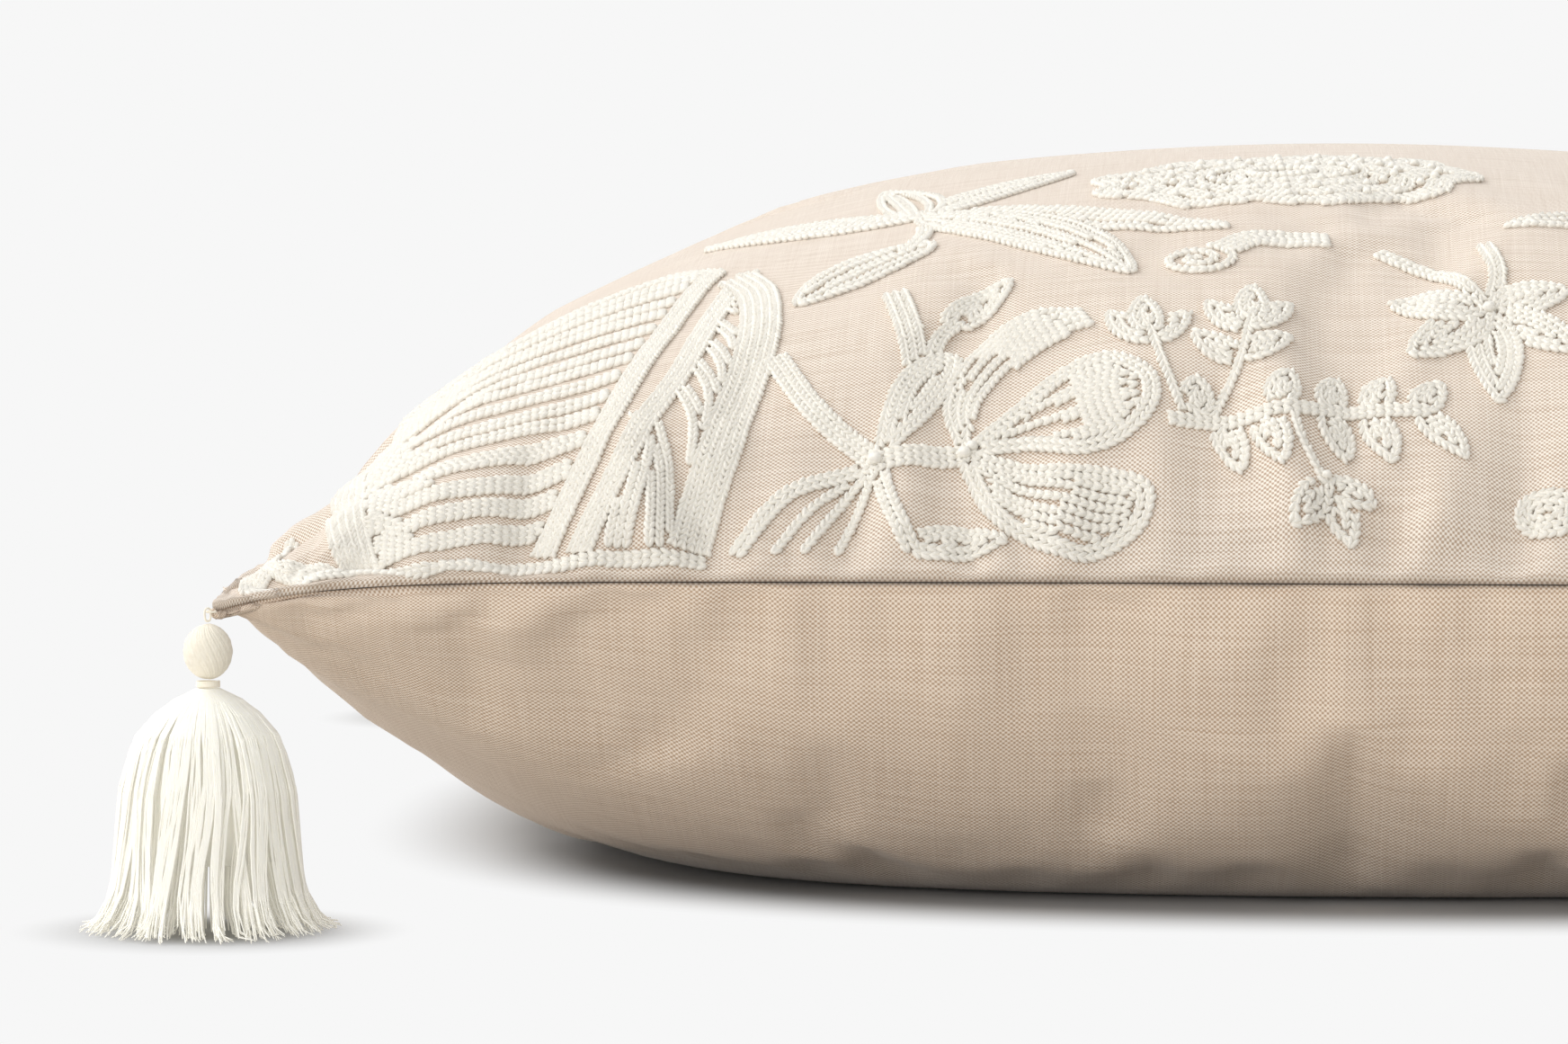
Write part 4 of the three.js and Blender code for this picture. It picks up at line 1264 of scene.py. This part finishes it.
def metal_finish():
    material, tree, shader = new_finish("zinc", Roughness=0.36, Metallic=1.0)
    places = object_places(tree)
    cloudy = noise(tree, places, 900.0, 3.0)
    worn = blend(tree, cloudy, colour(168, 160, 148), colour(205, 198, 186))
    plug(tree, shader.inputs["Base Color"], worn)
    plug(tree, shader.inputs["Roughness"], cloudy * 0.25 + 0.25)
    raise_bumps(tree, shader, cloudy, 0.02 * MM)
    return material


ZINC = metal_finish()
NYLON = plain_finish("nylon", colour(220, 204, 182), colour(198, 180, 158), 2500.0, 2e-5, 0.45, 0.0)
WEBBING = plain_finish("zip tape", colour(208, 190, 168), colour(178, 158, 136), 2200.0, 1e-4)
for name, node_name, body in (
    ("slider_body", "zip_slider", "slider"),
    ("pull_tab", "zip_pull", "pull"),
    ("closed_end_stop", "zip_stop_closed_end", "cover"),
    ("open_end_stop", "zip_stop_open_end", "cover"),
):
    finish_piece(eased_copy(name, node_name, 0.12), ZINC, body, node_name)
COIL_TURNS = 300
COIL_REACH, WIRE_RADIUS = 0.62, 0.26
for word, panel in (("upper", front_cover), ("lower", back_cover)):
    low, high = in_millimetres(f"zip_coil_{word}")
    _, y, z = (low + high) / 2
    share = np.linspace(0, 1, 8 * COIL_TURNS)
    angle = share * COIL_TURNS * 2 * math.pi
    x = low[0] + (high[0] - low[0]) * share
    wire = np.stack([x, y + COIL_REACH * np.cos(angle), z + COIL_REACH * np.sin(angle)], axis=1)
    coil = threads(f"coil_{word}", [wire], WIRE_RADIUS)
    finish_piece(coil, NYLON, "cover", f"zip_coil_{word}")
    tape = eased_copy(f"tape_{word}", f"zip_tape_{word}", 0.1)
    finish_piece(tape, WEBBING, "cover", f"zip_tape_{word}")

# %% [markdown]
# ## Room and light
# The floor is pale and fades into a white surround, and only the ground near the pillow is really
# shaded, so that it keeps a soft contact shadow. There the camera sees the floor painted darker
# than the surround, a painted shadow that deepens the contact shadow. Right under the pillow the
# floor is painted dark for reflected light only, which paints shade onto the lower panel. Light
# comes mostly from a broad sky with a large soft sun from above on the left, and a weaker one from
# the front.

# %% Floor
FLOOR_TONE = 0.93
# Seen by the camera, the floor near the pillow and its tassels is painted darker than the white
# around it, which deepens the contact shadow: painted shadow.
PAINTED_SHADOW_TONE = (0.42, 0.42, 0.42, 1)  # as the camera sees it
# Right under the pillow the floor is painted dark for reflected light only, which paints shade onto
# the pillow's lower panel near the floor.
UNDER_PAINTED_SHADE_TONE = (0.14, 0.13, 0.12, 1)  # as it lights the pillow from close below
AROUND_TONE = (0.6, 0.58, 0.55, 1)  # and from further out
PATCH_POWER = 2.5
TASSEL_PLACE = 0.281
bm = bmesh.new()
bmesh.ops.create_grid(bm, x_segments=4, y_segments=4, size=40)
floor = add_object("floor", mesh_from("floor", bm))
material, tree, shader = new_finish("floor", Roughness=0.9)
shader.inputs["Specular IOR Level"].default_value = 0.1
glow = node(tree, "ShaderNodeEmission", {}, {"Color": (1, 1, 1, 1), "Strength": FLOOR_TONE})
ground = node(tree, "ShaderNodeSeparateXYZ", {}, [object_places(tree)])
east = ground.math("ABSOLUTE")
north = Wire(tree, ground.socket.node.outputs[1]).math("ABSOLUTE")
from_patch = (east**PATCH_POWER + north**PATCH_POWER) ** (1 / PATCH_POWER)
from_tassel = ((east - TASSEL_PLACE) ** 2 + (north - TASSEL_PLACE) ** 2) ** 0.5
smooth_step = {"interpolation_type": "SMOOTHSTEP"}
fade = node(tree, "ShaderNodeMapRange", smooth_step, [from_patch, 0.222, 0.276])
spared = node(tree, "ShaderNodeMapRange", smooth_step, [from_tassel, 0.012, 0.052])
seen = node(tree, "ShaderNodeLightPath", output="Is Camera Ray")
surface = Wire(tree, shader.outputs[0])
mixed = node(tree, "ShaderNodeMixShader", {}, [fade * spared * seen, surface, glow])
# The floor's colour for reflected light: dark under the pillow as painted shade, paler further out.
reflected_with_painted_shade = blend(tree, fade, UNDER_PAINTED_SHADE_TONE, AROUND_TONE)
plug(tree, shader.inputs["Base Color"], blend(tree, seen, reflected_with_painted_shade, PAINTED_SHADOW_TONE))
plug(tree, tree.nodes["Material Output"].inputs["Surface"], mixed)
floor.data.materials.append(material)

# %% Sky and lamps
SKY_LEVEL = 0.72
world = bpy.data.worlds.new("surround")
bpy.context.scene.world = world
world.use_nodes = True
tree = world.node_tree
sky = tree.nodes["Background"]
sky.inputs["Color"].default_value = (1, 1, 1, 1)
path = tree.nodes.new("ShaderNodeLightPath")
direct = Wire(tree, path.outputs["Is Camera Ray"]) + Wire(tree, path.outputs["Is Glossy Ray"])
direct = (direct + Wire(tree, path.outputs["Is Transmission Ray"])).math("MINIMUM", 1.0)
plug(tree, sky.inputs["Strength"], direct * (FLOOR_TONE - SKY_LEVEL) + SKY_LEVEL)


def lamp(name, strength, spread, towards, tint=(1, 1, 1)):
    light = bpy.data.lights.new(name, "SUN")
    light.energy = strength
    light.angle = math.radians(spread)
    light.color = tint
    holder = bpy.data.objects.new(name, light)
    holder.rotation_euler = Vector(towards).to_track_quat("Z", "Y").to_euler()
    bpy.context.scene.collection.objects.link(holder)


lamp("window", 1.64, 40, (-0.66, 0.3, 0.69), (1.0, 0.995, 0.98))
lamp("front fill", 1.86, 60, (-0.6, -0.8, 0.08))

# %% Finish
scene = bpy.context.scene
scene.view_settings.view_transform = "Standard"
